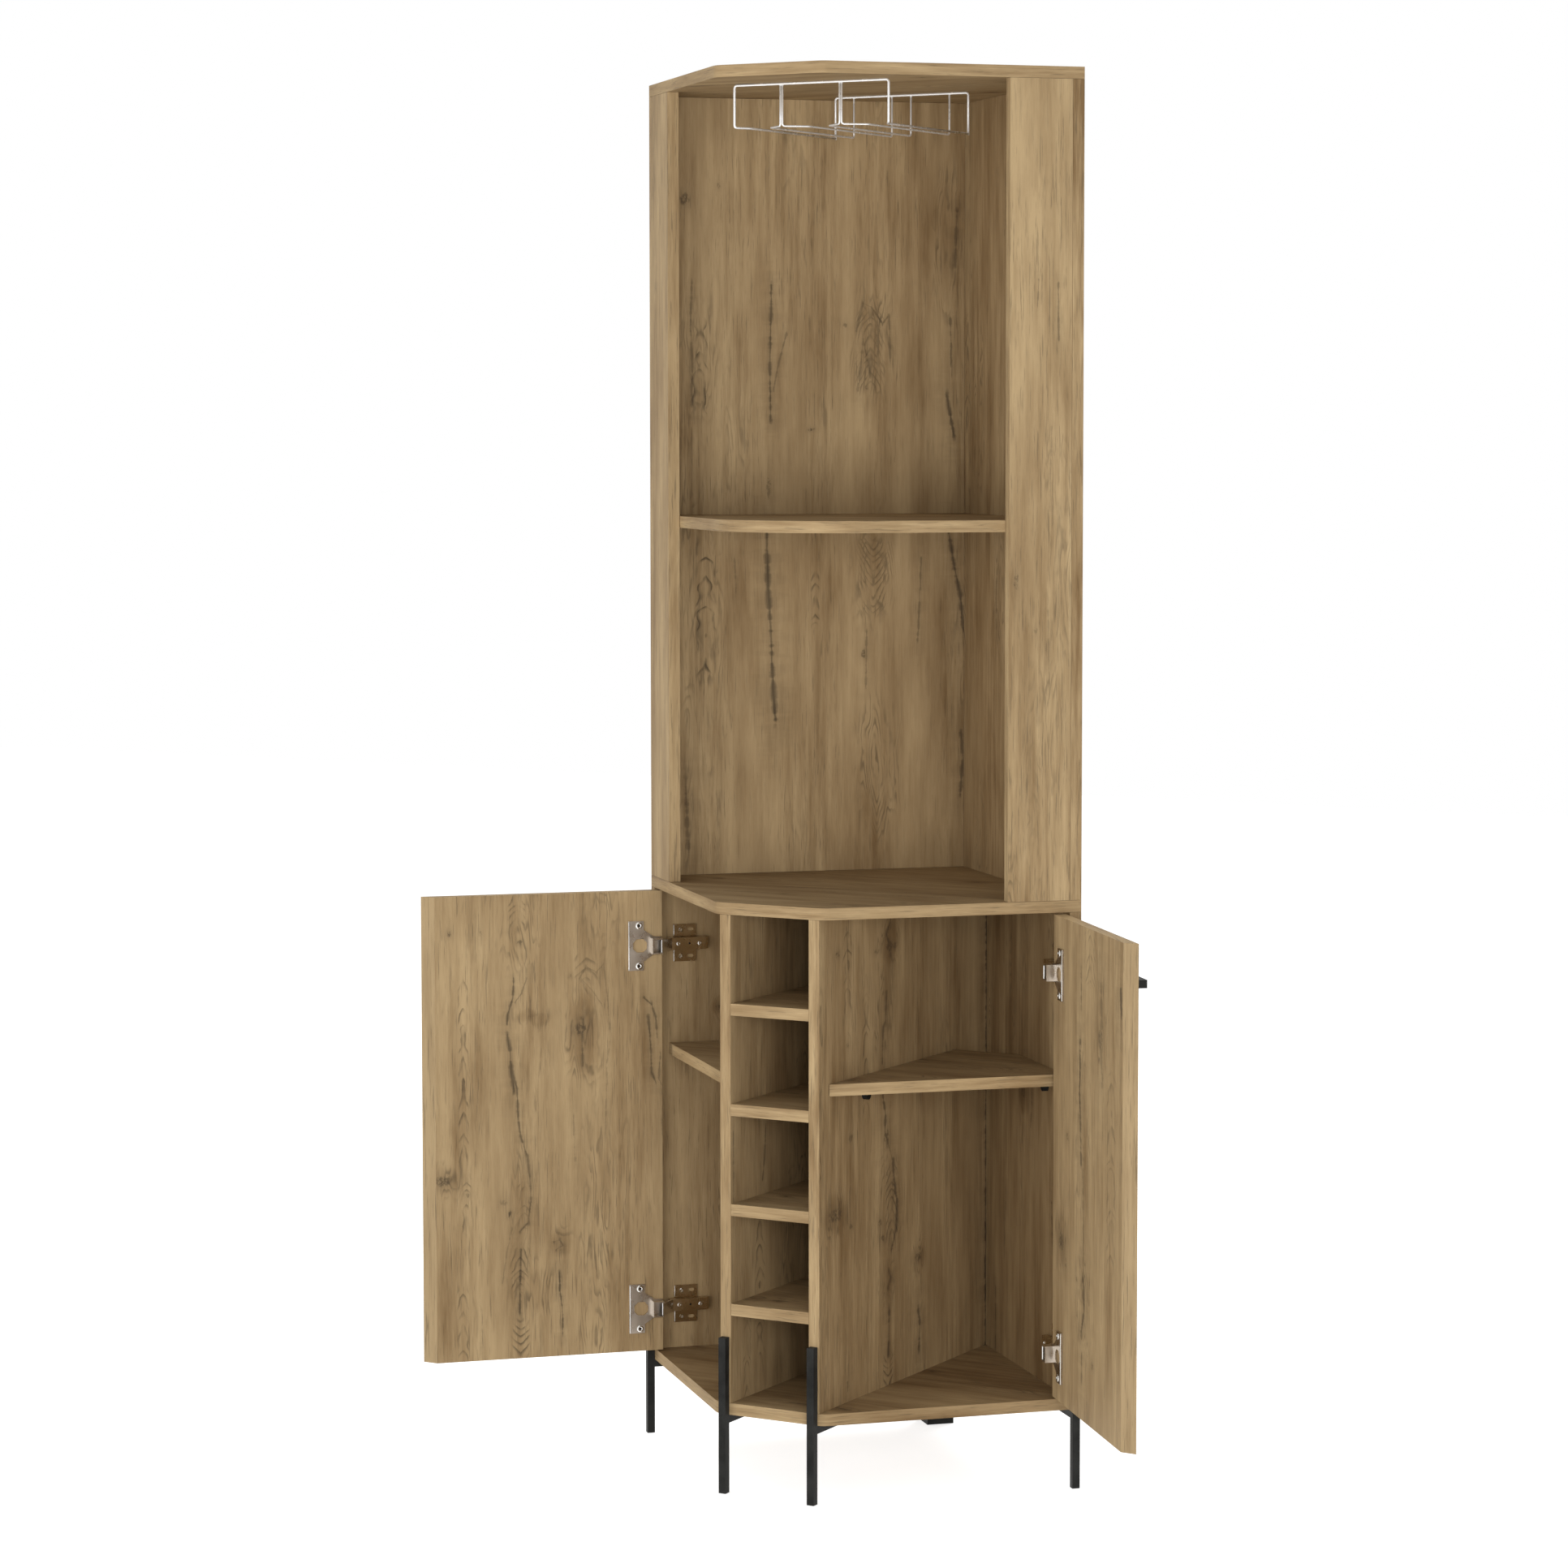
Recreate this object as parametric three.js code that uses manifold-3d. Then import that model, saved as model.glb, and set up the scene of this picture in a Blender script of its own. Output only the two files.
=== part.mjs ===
// Corner bar cabinet: five-sided panels with rounded front corners, an open upper bay with a stemware rack,
// and a lower cupboard with a bottle column between two hinged doors.
// Lengths are in millimetres, +Z is up and the front faces -Y. The origin is on the
// floor under the rear foot, on the cabinet's plane of symmetry. On each side of the
// cabinet, "along" is the distance from the back corner along that side's wall, and
// "across" is the distance out from that wall.
import * as THREE from 'three';
import * as BufferGeometryUtils from 'three/addons/utils/BufferGeometryUtils.js';
import Module from 'manifold-3d';

const wasm = await Module();
wasm.setup();

// Carcass
const BOARD = 15;
const WALL_REACH = 449;
const FACET_REACH = 341.5;
const TOTAL_HEIGHT = 1800;
const FLOOR_CLEARANCE = 100;
const CORNER_BEHIND_ORIGIN = 85;
const CUPBOARD_CLEAR = 623.5;
const SEAT = 0.3;
const PANEL_CORNER_SHARE = 0.165;

// Upper bay
const STILE_WIDTH = 83;
const UPPER_SHELF_CLEAR = 466;
const UPPER_SHELF_SETBACK = 15.5;
const UPPER_SHELF_CORNER_SHARE = 0.935;

// Bottle column
const COLUMN_CLEAR = 112.8;
const CELL_COUNT = 5;
const BOTTLE_SHELF_DEPTH = 380;

// Cupboard shelves and their pins
const SIDE_SHELF_CLEAR = 399;
const SIDE_SHELF_SETBACK = 20;
const SIDE_SHELF_BACK = 251;
const SIDE_SHELF_PLAY = 1;
const PIN_PLATE_WIDTH = 12;
const PIN_PLATE_HEIGHT = 16;
const PIN_PLATE_DEPTH = 7;
const PEG_RADIUS = 2.5;
const PEG_LENGTH = 8;
const PEG_HOLE_RADIUS = 2.8;
const PEG_HOLE_DEPTH = 9;
const WALL_PIN_FRONT_INSET = 65;
const WALL_PIN_BACK_INSET = 24;
const DIVIDER_PIN_FRONT = 118;
const DIVIDER_PIN_BACK = 330;

// Legs and rear foot
const LEG_BAR = 10;
const LEG_HEIGHT = 200;
const LEG_ARM_LENGTH = 90;
const FOOT_SIZE = 37;
const FOOT_ALONG = 37;
const FOOT_ACROSS = 47;

// Doors
const DOOR_REVEAL = 2;
const DOOR_TOP_GAP = 2.5;
const DOOR_FREE_GAP = 2.5;
const PIVOT_ALONG_INSET = 1.55;
const PIVOT_ACROSS = 21.05;
const LEFT_REST_ANGLE = 90;
const RIGHT_REST_ANGLE = 86.3;

// Handles
const HANDLE_LENGTH = 110;
const HANDLE_BAR = 10;
const HANDLE_STANDOFF = 9;
const HANDLE_POST = 12;
const HANDLE_END_GAP = 28.5;
const HANDLE_DROP = 52.5;

// Hinges
const UPPER_HINGE_DROP = 73;
const LOWER_HINGE_RISE = 57.5;
const PLATE_THICKNESS = 2;
const BASE_PLATE_HEIGHT = 50;
const BASE_PLATE_WIDTH = 31.5;
const BASE_PLATE_SETBACK = 25.5;
const BASE_SLOT_LENGTH = 9;
const BASE_SLOT_RADIUS = 2.4;
const BASE_SLOT_INSET = 8;
const BASE_SLOT_RISE = 18;
const ARM_LENGTH = 54;
const ARM_HEIGHT = 16;
const ARM_TOP = 27;
const ARM_SLOPE = 4;
const ARM_CLEARANCE = 0.7;
const FLANGE_HEIGHT = 66;
const FLANGE_OUTER = 46.5;
const FLANGE_INNER = 25.5;
const FLANGE_SHOULDER = 21;
const FLANGE_WAIST = 12;
const FLANGE_NOSE = 1;
const FLANGE_HOLE_OUTER = 40;
const FLANGE_HOLE_INNER = 21;
const FLANGE_HOLE_HEIGHT = 18;
const FLANGE_HOLE_CORNER = 5;
const KNUCKLE_NEAR = 1.5;
const KNUCKLE_FAR = 16;
const KNUCKLE_REACH = 14;
const KNUCKLE_HEIGHT = 20.8;
const KNUCKLE_WALL = 1.8;
const LINK_LENGTH = 25;
const LINK_THICKNESS = 2.5;
const LINK_CLEARANCE = 0.4;
const LINK_PIVOT_INSET = 1.85;
const LINK_TURN_SHARE = 134 / 90;

// Stemware rack
const HOOP_RADIUS = 1.5;
const RAIL_RADIUS = 1.25;
const RACK_SETBACK = 108.5;
const RACK_DEPTH = 245;
const RACK_FRONT_HALF = 110.7;
const RACK_DROP = 53;
const RACK_MOUTH = 22;
const OUTER_RAIL = 98;
const MIDDLE_RAIL = 70.5;
const INNER_RAIL = 14;
const POST_PAIR = 42.5;
const BEND_RADIUS = 4;
const BEND_STEPS = 3;
const WIRE_SIDES = 8;

const PEG_SIDES = 16;
const ROUND_STEPS = 6;
const CORNER_STEPS = 8;

// Heights and plan positions that follow from the sizes above
const ROOT2 = Math.SQRT2;
const FACET_TURN_SHARE = Math.tan(Math.PI / 8);
const bottomTop = FLOOR_CLEARANCE + BOARD;
const middleUnder = bottomTop + CUPBOARD_CLEAR;
const middleTop = middleUnder + BOARD;
const topUnder = TOTAL_HEIGHT - BOARD;
const frontY = CORNER_BEHIND_ORIGIN - (WALL_REACH + FACET_REACH) / ROOT2;
const columnHalf = COLUMN_CLEAR / 2;
const dividerOuter = columnHalf + BOARD;
const sideShelfFront = WALL_REACH - SIDE_SHELF_SETBACK;
const wallPinFront = sideShelfFront - WALL_PIN_FRONT_INSET;
const wallPinBack = SIDE_SHELF_BACK + WALL_PIN_BACK_INSET;
const doorEdge = BOARD + DOOR_REVEAL;
const doorBottom = bottomTop + DOOR_TOP_GAP;
const doorTop = middleUnder - DOOR_TOP_GAP;
const doorInner = WALL_REACH - BOARD;
const doorFree = FACET_REACH - DOOR_FREE_GAP;
const armEnd = doorInner - SEAT - PLATE_THICKNESS - ARM_CLEARANCE;
const hingeHeights = { upper: doorTop - UPPER_HINGE_DROP, lower: doorBottom + LOWER_HINGE_RISE };

const oak = { color: 0x9c7f56, roughness: 0.62, metalness: 0 };
const oakDark = { color: 0x8a6f49, roughness: 0.66, metalness: 0 };
const blackMetal = { color: 0x1c1c1c, roughness: 0.55, metalness: 0.3 };
const nickel = { color: 0xb4b2ac, roughness: 0.3, metalness: 0.9 };
const wire = { color: 0xe4e2dc, roughness: 0.28, metalness: 0.5 };
const blackPlastic = { color: 0x141414, roughness: 0.6, metalness: 0 };

const cabinet = new THREE.Group();
cabinet.name = 'corner_bar_cabinet';

const up = new THREE.Vector3(0, 0, 1);
const rightward = new THREE.Vector3(1, 0, 0);
const backward = new THREE.Vector3(0, 1, 0);

function addPiece(name, geometry, finish) {
  geometry.computeVertexNormals();
  const mesh = new THREE.Mesh(geometry, new THREE.MeshStandardMaterial(finish));
  mesh.name = name;
  cabinet.add(mesh);
}

// Side is -1 for the left wall and +1 for the right wall.
function planPoint(side, along, across) {
  return [side * (along - across) / ROOT2, CORNER_BEHIND_ORIGIN - (along + across) / ROOT2];
}

function alongDirection(side) {
  return new THREE.Vector3(side / ROOT2, -1 / ROOT2, 0);
}

function acrossDirection(side) {
  return new THREE.Vector3(-side / ROOT2, -1 / ROOT2, 0);
}

function vectorAt(point, height) {
  return new THREE.Vector3(point[0], point[1], height);
}

function shapeFrom(points) {
  return new THREE.Shape(points.map((p) => new THREE.Vector2(p[0], p[1])));
}

function slab(shape, depth) {
  return new THREE.ExtrudeGeometry(shape, { depth, bevelEnabled: false });
}

// A plan outline raised from one height to another.
function prism(points, low, high) {
  return slab(shapeFrom(points), high - low).translate(0, 0, low);
}

function flipFaces(geometry) {
  const position = geometry.getAttribute('position');
  const first = new THREE.Vector3();
  const second = new THREE.Vector3();
  for (let i = 0; i < position.count; i += 3) {
    first.fromBufferAttribute(position, i + 1);
    second.fromBufferAttribute(position, i + 2);
    position.setXYZ(i + 1, second.x, second.y, second.z);
    position.setXYZ(i + 2, first.x, first.y, first.z);
  }
}

// Puts a shape drawn in its own axes onto the cabinet; mirrored axes get their faces turned.
function placed(geometry, origin, xAxis, yAxis, zAxis) {
  const matrix = new THREE.Matrix4().makeBasis(xAxis, yAxis, zAxis).setPosition(origin);
  geometry.applyMatrix4(matrix);
  if (matrix.determinant() < 0) flipFaces(geometry);
  return geometry;
}

function toSolid(geometry) {
  const bare = geometry.clone();
  bare.deleteAttribute('normal');
  bare.deleteAttribute('uv');
  const merged = BufferGeometryUtils.mergeVertices(bare);
  const vertProperties = Float32Array.from(merged.getAttribute('position').array);
  const triVerts = Uint32Array.from(merged.index.array);
  return new wasm.Manifold(new wasm.Mesh({ numProp: 3, vertProperties, triVerts }));
}

function fromSolid(solid) {
  const mesh = solid.getMesh();
  const geometry = new THREE.BufferGeometry();
  geometry.setAttribute('position', new THREE.BufferAttribute(mesh.vertProperties, 3));
  geometry.setIndex(new THREE.BufferAttribute(mesh.triVerts, 1));
  return geometry;
}

function cutAway(geometry, cutters) {
  let solid = toSolid(geometry);
  for (const cutter of cutters) solid = solid.subtract(toSolid(cutter));
  return fromSolid(solid);
}

function joined(first, second) {
  return fromSolid(toSolid(first).add(toSolid(second)));
}

// A short round bar that starts at a point and runs along a direction.
function roundBar(start, direction, radius, length) {
  const bar = new THREE.CylinderGeometry(radius, radius, length, PEG_SIDES);
  bar.rotateX(Math.PI / 2).translate(0, 0, length / 2);
  const turn = new THREE.Quaternion().setFromUnitVectors(up, direction);
  return bar.applyQuaternion(turn).translate(start.x, start.y, start.z);
}

// Five-sided outline of a panel or the upper shelf, set in at the front and at the walls. The
// radius of its two front corners is a share of the front edge between them.
function panelOutline(inset, cornerShare) {
  const reach = WALL_REACH - inset.front;
  const facet = FACET_REACH - inset.front * FACET_TURN_SHARE;
  const start = inset.walls;
  const leftEnd = planPoint(-1, reach, start);
  const leftCorner = planPoint(-1, reach, facet);
  const rightCorner = planPoint(1, reach, facet);
  const rightEnd = planPoint(1, reach, start);
  const frontEdge = (reach - facet) * ROOT2;
  const cornerRadius = frontEdge * cornerShare;
  return [
    planPoint(-1, start, start),
    leftEnd,
    ...roundedCorner(leftEnd, leftCorner, rightCorner, cornerRadius),
    ...roundedCorner(leftCorner, rightCorner, rightEnd, cornerRadius),
    rightEnd,
  ];
}

// Points on an arc that rounds a corner and touches the sides before and after it.
function roundedCorner(before, corner, after, radius) {
  const place = new THREE.Vector2(...corner);
  const back = new THREE.Vector2(...before).sub(place).normalize();
  const ahead = new THREE.Vector2(...after).sub(place).normalize();
  const halfAngle = Math.acos(back.dot(ahead)) / 2;
  const middle = back.clone().add(ahead).normalize();
  const centre = place.clone().addScaledVector(middle, radius / Math.sin(halfAngle));
  const start = place.clone().addScaledVector(back, radius / Math.tan(halfAngle));
  const turn = Math.PI - 2 * halfAngle;
  const points = [];
  for (let i = 0; i <= CORNER_STEPS; i++) {
    points.push(start.clone().rotateAround(centre, (turn * i) / CORNER_STEPS).toArray());
  }
  return points;
}

function mainPanels() {
  const outline = panelOutline({ front: 0, walls: 0 }, PANEL_CORNER_SHARE);
  addPiece('bottom_panel', prism(outline, FLOOR_CLEARANCE, bottomTop), oak);
  addPiece('middle_panel', prism(outline, middleUnder, middleTop), oak);
  addPiece('top_panel', prism(outline, topUnder, TOTAL_HEIGHT), oak);
}

// A wall board. The right one reaches the corner and the left one butts against it.
function wallOutline(side) {
  const start = side < 0 ? BOARD + SEAT : 0;
  return [
    planPoint(side, start, 0),
    planPoint(side, WALL_REACH, 0),
    planPoint(side, WALL_REACH, BOARD),
    planPoint(side, start, BOARD),
  ];
}

function stileOutline(side) {
  const near = BOARD + SEAT;
  const far = BOARD + STILE_WIDTH;
  return [
    planPoint(side, WALL_REACH - BOARD, near),
    planPoint(side, WALL_REACH, near),
    planPoint(side, WALL_REACH, far),
    planPoint(side, WALL_REACH - BOARD, far),
  ];
}

function upperBay() {
  const low = middleTop + SEAT;
  const high = topUnder - SEAT;
  const shelfLow = middleTop + UPPER_SHELF_CLEAR;
  for (const [side, label] of [[-1, 'left'], [1, 'right']]) {
    addPiece(`upper_wall_${label}`, prism(wallOutline(side), low, high), oak);
    addPiece(`upper_stile_${label}`, prism(stileOutline(side), low, high), oak);
  }
  const inset = { front: UPPER_SHELF_SETBACK, walls: BOARD + SEAT };
  const outline = panelOutline(inset, UPPER_SHELF_CORNER_SHARE);
  addPiece('upper_shelf', prism(outline, shelfLow, shelfLow + BOARD), oak);
}

// Places of the shelf pins: points on the board faces with their outward directions.
function pinPlaces(side) {
  const height = bottomTop + SIDE_SHELF_CLEAR - SEAT - PIN_PLATE_HEIGHT / 2;
  const across = acrossDirection(side);
  const outward = rightward.clone().multiplyScalar(side);
  const wallPins = [wallPinFront, wallPinBack].map((along) => ({
    point: vectorAt(planPoint(side, along, BOARD), height),
    outward: across,
    sideways: alongDirection(side),
  }));
  const dividerPins = [DIVIDER_PIN_FRONT, DIVIDER_PIN_BACK].map((depth) => ({
    point: new THREE.Vector3(side * dividerOuter, frontY + depth, height),
    outward,
    sideways: backward,
  }));
  return { wallPins, dividerPins };
}

function pinHoles(places) {
  return places.map((place) => {
    const inward = place.outward.clone().negate();
    const start = place.point.clone().addScaledVector(place.outward, PEG_HOLE_RADIUS);
    return roundBar(start, inward, PEG_HOLE_RADIUS, PEG_HOLE_DEPTH + PEG_HOLE_RADIUS);
  });
}

// A pin plate with a rounded foot; the peg at its back sits in the board.
function shelfPin(place) {
  const half = PIN_PLATE_WIDTH / 2;
  const shape = new THREE.Shape();
  shape.moveTo(-half, PIN_PLATE_HEIGHT / 2);
  shape.lineTo(-half, half - PIN_PLATE_HEIGHT / 2);
  shape.absarc(0, half - PIN_PLATE_HEIGHT / 2, half, Math.PI, 2 * Math.PI, false);
  shape.lineTo(half, PIN_PLATE_HEIGHT / 2);
  const options = { depth: PIN_PLATE_DEPTH, bevelEnabled: false, curveSegments: ROUND_STEPS };
  const plate = new THREE.ExtrudeGeometry(shape, options);
  const face = place.point.clone().addScaledVector(place.outward, SEAT);
  placed(plate, face, place.sideways, up, place.outward);
  const inward = place.outward.clone().negate();
  const start = face.clone().addScaledVector(place.outward, PIN_PLATE_DEPTH / 2);
  const peg = roundBar(start, inward, PEG_RADIUS, PEG_LENGTH + PIN_PLATE_DEPTH / 2);
  return joined(plate, peg);
}

// A divider runs from the front edge back to the wall board, where it is cut at 45 degrees.
function dividerOutline(side) {
  const stop = CORNER_BEHIND_ORIGIN - (BOARD + SEAT) * ROOT2;
  return [
    [side * columnHalf, frontY],
    [side * dividerOuter, frontY],
    [side * dividerOuter, stop - dividerOuter],
    [side * columnHalf, stop - columnHalf],
  ];
}

function sideShelfOutline(side) {
  const wallGap = BOARD + SIDE_SHELF_PLAY;
  const inner = dividerOuter + SIDE_SHELF_PLAY;
  const back = planPoint(side, SIDE_SHELF_BACK, wallGap);
  const tip = planPoint(side, sideShelfFront, sideShelfFront - inner * ROOT2);
  const frontCorner = planPoint(side, sideShelfFront, wallGap);
  return [tip, frontCorner, back, [side * inner, back[1]]];
}

function bottleShelves() {
  const cellClear = (CUPBOARD_CLEAR - (CELL_COUNT - 1) * BOARD) / CELL_COUNT;
  const half = columnHalf - SEAT;
  const back = frontY + BOTTLE_SHELF_DEPTH;
  const outline = [[-half, frontY], [half, frontY], [half, back], [-half, back]];
  for (let i = 1; i < CELL_COUNT; i += 1) {
    const low = bottomTop + i * cellClear + (i - 1) * BOARD;
    addPiece(`bottle_shelf_${i}`, prism(outline, low, low + BOARD), oak);
  }
}

function cupboard() {
  const low = bottomTop + SEAT;
  const high = middleUnder - SEAT;
  const shelfLow = bottomTop + SIDE_SHELF_CLEAR;
  for (const [side, label] of [[-1, 'left'], [1, 'right']]) {
    const { wallPins, dividerPins } = pinPlaces(side);
    const wall = cutAway(prism(wallOutline(side), low, high), pinHoles(wallPins));
    const divider = cutAway(prism(dividerOutline(side), low, high), pinHoles(dividerPins));
    addPiece(`lower_wall_${label}`, wall, oak);
    addPiece(`divider_${label}`, divider, oak);
    const shelf = prism(sideShelfOutline(side), shelfLow, shelfLow + BOARD);
    addPiece(`side_shelf_${label}`, shelf, oak);
    [...wallPins, ...dividerPins].forEach((place, i) => {
      addPiece(`shelf_pin_${label}_${i + 1}`, shelfPin(place), blackPlastic);
    });
  }
  bottleShelves();
}

// An upright bar in front of a board's edge, with an arm back under the bottom panel.
function leg(foot, inward, sideways) {
  const underArm = FLOOR_CLEARANCE - SEAT - LEG_BAR;
  const shape = shapeFrom([
    [-LEG_BAR, 0],
    [0, 0],
    [0, underArm],
    [LEG_ARM_LENGTH, underArm],
    [LEG_ARM_LENGTH, underArm + LEG_BAR],
    [0, underArm + LEG_BAR],
    [0, LEG_HEIGHT],
    [-LEG_BAR, LEG_HEIGHT],
  ]);
  const start = foot.clone().addScaledVector(inward, -SEAT);
  start.addScaledVector(sideways, -LEG_BAR / 2);
  return placed(slab(shape, LEG_BAR), start, inward, up, sideways);
}

function supports() {
  for (const [side, label] of [[-1, 'left'], [1, 'right']]) {
    const column = new THREE.Vector3(side * (columnHalf + BOARD / 2), frontY, 0);
    addPiece(`leg_column_${label}`, leg(column, backward, rightward), blackMetal);
    const corner = vectorAt(planPoint(side, WALL_REACH, BOARD / 2), 0);
    const inward = alongDirection(side).negate();
    addPiece(`leg_wall_${label}`, leg(corner, inward, acrossDirection(side)), blackMetal);
  }
  const outline = [
    planPoint(1, FOOT_ALONG, FOOT_ACROSS),
    planPoint(1, FOOT_ALONG + FOOT_SIZE, FOOT_ACROSS),
    planPoint(1, FOOT_ALONG + FOOT_SIZE, FOOT_ACROSS + FOOT_SIZE),
    planPoint(1, FOOT_ALONG, FOOT_ACROSS + FOOT_SIZE),
  ];
  addPiece('rear_foot', prism(outline, 0, FLOOR_CLEARANCE - SEAT), blackPlastic);
}

// How far a door stands open at rest, in degrees about +Z.
function doorTurn(side) {
  return side < 0 ? -LEFT_REST_ANGLE : RIGHT_REST_ANGLE;
}

function turned(geometry, pivot, degrees) {
  geometry.translate(-pivot[0], -pivot[1], 0);
  geometry.rotateZ(THREE.MathUtils.degToRad(degrees));
  return geometry.translate(pivot[0], pivot[1], 0);
}

// Turns a piece drawn on the closed door to the door's rest position.
function hung(geometry, side) {
  const pivot = planPoint(side, WALL_REACH - PIVOT_ALONG_INSET, PIVOT_ACROSS);
  return turned(geometry, pivot, doorTurn(side));
}

// The free edge is cut at 45 degrees, so that it lies along the divider when closed.
function door(side) {
  const outline = [
    planPoint(side, doorInner, doorEdge),
    planPoint(side, WALL_REACH, doorEdge),
    planPoint(side, WALL_REACH, doorFree),
    planPoint(side, doorInner, doorFree - BOARD),
  ];
  return hung(prism(outline, doorBottom, doorTop), side);
}

function handle(side) {
  const face = WALL_REACH + SEAT;
  const gripInner = face + HANDLE_STANDOFF;
  const gripOuter = gripInner + HANDLE_BAR;
  const free = doorFree - HANDLE_END_GAP;
  const start = free - HANDLE_LENGTH;
  const outline = [
    planPoint(side, face, start),
    planPoint(side, gripOuter, start),
    planPoint(side, gripOuter, free),
    planPoint(side, face, free),
    planPoint(side, face, free - HANDLE_POST),
    planPoint(side, gripInner, free - HANDLE_POST),
    planPoint(side, gripInner, start + HANDLE_POST),
    planPoint(side, face, start + HANDLE_POST),
  ];
  const middle = doorTop - HANDLE_DROP;
  return hung(prism(outline, middle - HANDLE_BAR / 2, middle + HANDLE_BAR / 2), side);
}

// A slot shape: a bar with two round ends.
function stadium(centreX, centreY, length, radius) {
  const reach = length / 2 - radius;
  const shape = new THREE.Shape();
  shape.absarc(centreX + reach, centreY, radius, -Math.PI / 2, Math.PI / 2, false);
  shape.absarc(centreX - reach, centreY, radius, Math.PI / 2, 3 * Math.PI / 2, false);
  return shape;
}

// The mounting plate on the wall board, with an adjusting slot above and below the arm.
function hingeBase(side, height) {
  const front = WALL_REACH - BASE_PLATE_SETBACK;
  const half = BASE_PLATE_HEIGHT / 2;
  const shape = shapeFrom([[0, -half], [BASE_PLATE_WIDTH, -half], [BASE_PLATE_WIDTH, half], [0, half]]);
  for (const rise of [-BASE_SLOT_RISE, BASE_SLOT_RISE]) {
    shape.holes.push(stadium(BASE_SLOT_INSET, rise, BASE_SLOT_LENGTH, BASE_SLOT_RADIUS));
  }
  const options = { depth: PLATE_THICKNESS, bevelEnabled: false, curveSegments: ROUND_STEPS };
  const plate = new THREE.ExtrudeGeometry(shape, options);
  const start = vectorAt(planPoint(side, front - BASE_PLATE_WIDTH, BOARD + SEAT), height);
  return placed(plate, start, alongDirection(side), up, acrossDirection(side));
}

// The arm on the mounting plate, which ends just short of the closed door's flange.
function hingeArm(side, height) {
  const start = armEnd - ARM_LENGTH;
  const low = BOARD + SEAT + PLATE_THICKNESS + SEAT;
  const outline = [
    planPoint(side, start, low),
    planPoint(side, armEnd, low),
    planPoint(side, armEnd, ARM_TOP),
    planPoint(side, start + ARM_SLOPE, ARM_TOP),
    planPoint(side, start, ARM_TOP - ARM_SLOPE),
  ];
  return prism(outline, height - ARM_HEIGHT / 2, height + ARM_HEIGHT / 2);
}

function flangeOutline() {
  const half = FLANGE_HEIGHT / 2;
  const upper = [
    [FLANGE_NOSE, FLANGE_WAIST],
    [FLANGE_WAIST, FLANGE_WAIST],
    [FLANGE_INNER, FLANGE_SHOULDER],
    [FLANGE_INNER, half],
    [FLANGE_OUTER, half],
  ];
  const lower = upper.map((p) => [p[0], -p[1]]).reverse();
  return [...upper, ...lower];
}

function flangeHole() {
  const half = FLANGE_HOLE_HEIGHT / 2;
  const cut = FLANGE_HOLE_CORNER;
  const points = [
    [FLANGE_HOLE_OUTER, half - cut],
    [FLANGE_HOLE_OUTER - cut, half],
    [FLANGE_HOLE_INNER + cut, half],
    [FLANGE_HOLE_INNER, half - cut],
    [FLANGE_HOLE_INNER, cut - half],
    [FLANGE_HOLE_INNER + cut, -half],
    [FLANGE_HOLE_OUTER - cut, -half],
    [FLANGE_HOLE_OUTER, cut - half],
  ];
  return new THREE.Path(points.map((p) => new THREE.Vector2(p[0], p[1])));
}

// The door flange with its knuckle: two cheeks and a web that close around the arm.
function hingeFlange(side, height) {
  const shape = shapeFrom(flangeOutline());
  shape.holes.push(flangeHole());
  const half = KNUCKLE_HEIGHT / 2;
  const inside = half - KNUCKLE_WALL;
  const web = KNUCKLE_FAR - KNUCKLE_WALL;
  const knuckle = shapeFrom([
    [KNUCKLE_NEAR, -half],
    [KNUCKLE_FAR, -half],
    [KNUCKLE_FAR, half],
    [KNUCKLE_NEAR, half],
    [KNUCKLE_NEAR, inside],
    [web, inside],
    [web, -inside],
    [KNUCKLE_NEAR, -inside],
  ]);
  const flange = joined(slab(shape, PLATE_THICKNESS), slab(knuckle, KNUCKLE_REACH)).toNonIndexed();
  const start = vectorAt(planPoint(side, doorInner - SEAT, doorEdge), height);
  const outOfDoor = alongDirection(side).negate();
  return hung(placed(flange, start, acrossDirection(side), up, outOfDoor), side);
}

// The link bridges from the arm's end into the knuckle. It lies back over the arm when
// the door is closed, and swings out faster than the door turns.
function hingeLink(side, height) {
  const radius = LINK_THICKNESS / 2;
  const across = ARM_TOP + LINK_CLEARANCE + radius;
  const shape = stadium(LINK_LENGTH / 2, 0, LINK_LENGTH + LINK_THICKNESS, radius);
  const tall = KNUCKLE_HEIGHT - 2 * (KNUCKLE_WALL + SEAT);
  const options = { depth: tall, bevelEnabled: false, curveSegments: ROUND_STEPS };
  const link = new THREE.ExtrudeGeometry(shape, options);
  const pivot = planPoint(side, armEnd - LINK_PIVOT_INSET, across);
  const backAlong = alongDirection(side).negate();
  placed(link, vectorAt(pivot, height - tall / 2), backAlong, acrossDirection(side), up);
  return turned(link, pivot, doorTurn(side) * LINK_TURN_SHARE);
}

function doorsAndHinges() {
  for (const [side, label] of [[-1, 'left'], [1, 'right']]) {
    addPiece(`door_${label}`, door(side), oak);
    addPiece(`handle_${label}`, handle(side), blackMetal);
    for (const [level, height] of Object.entries(hingeHeights)) {
      addPiece(`hinge_base_${label}_${level}`, hingeBase(side, height), nickel);
      addPiece(`hinge_arm_${label}_${level}`, hingeArm(side, height), nickel);
      addPiece(`hinge_flange_${label}_${level}`, hingeFlange(side, height), nickel);
      addPiece(`hinge_link_${label}_${level}`, hingeLink(side, height), nickel);
    }
  }
}

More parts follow.
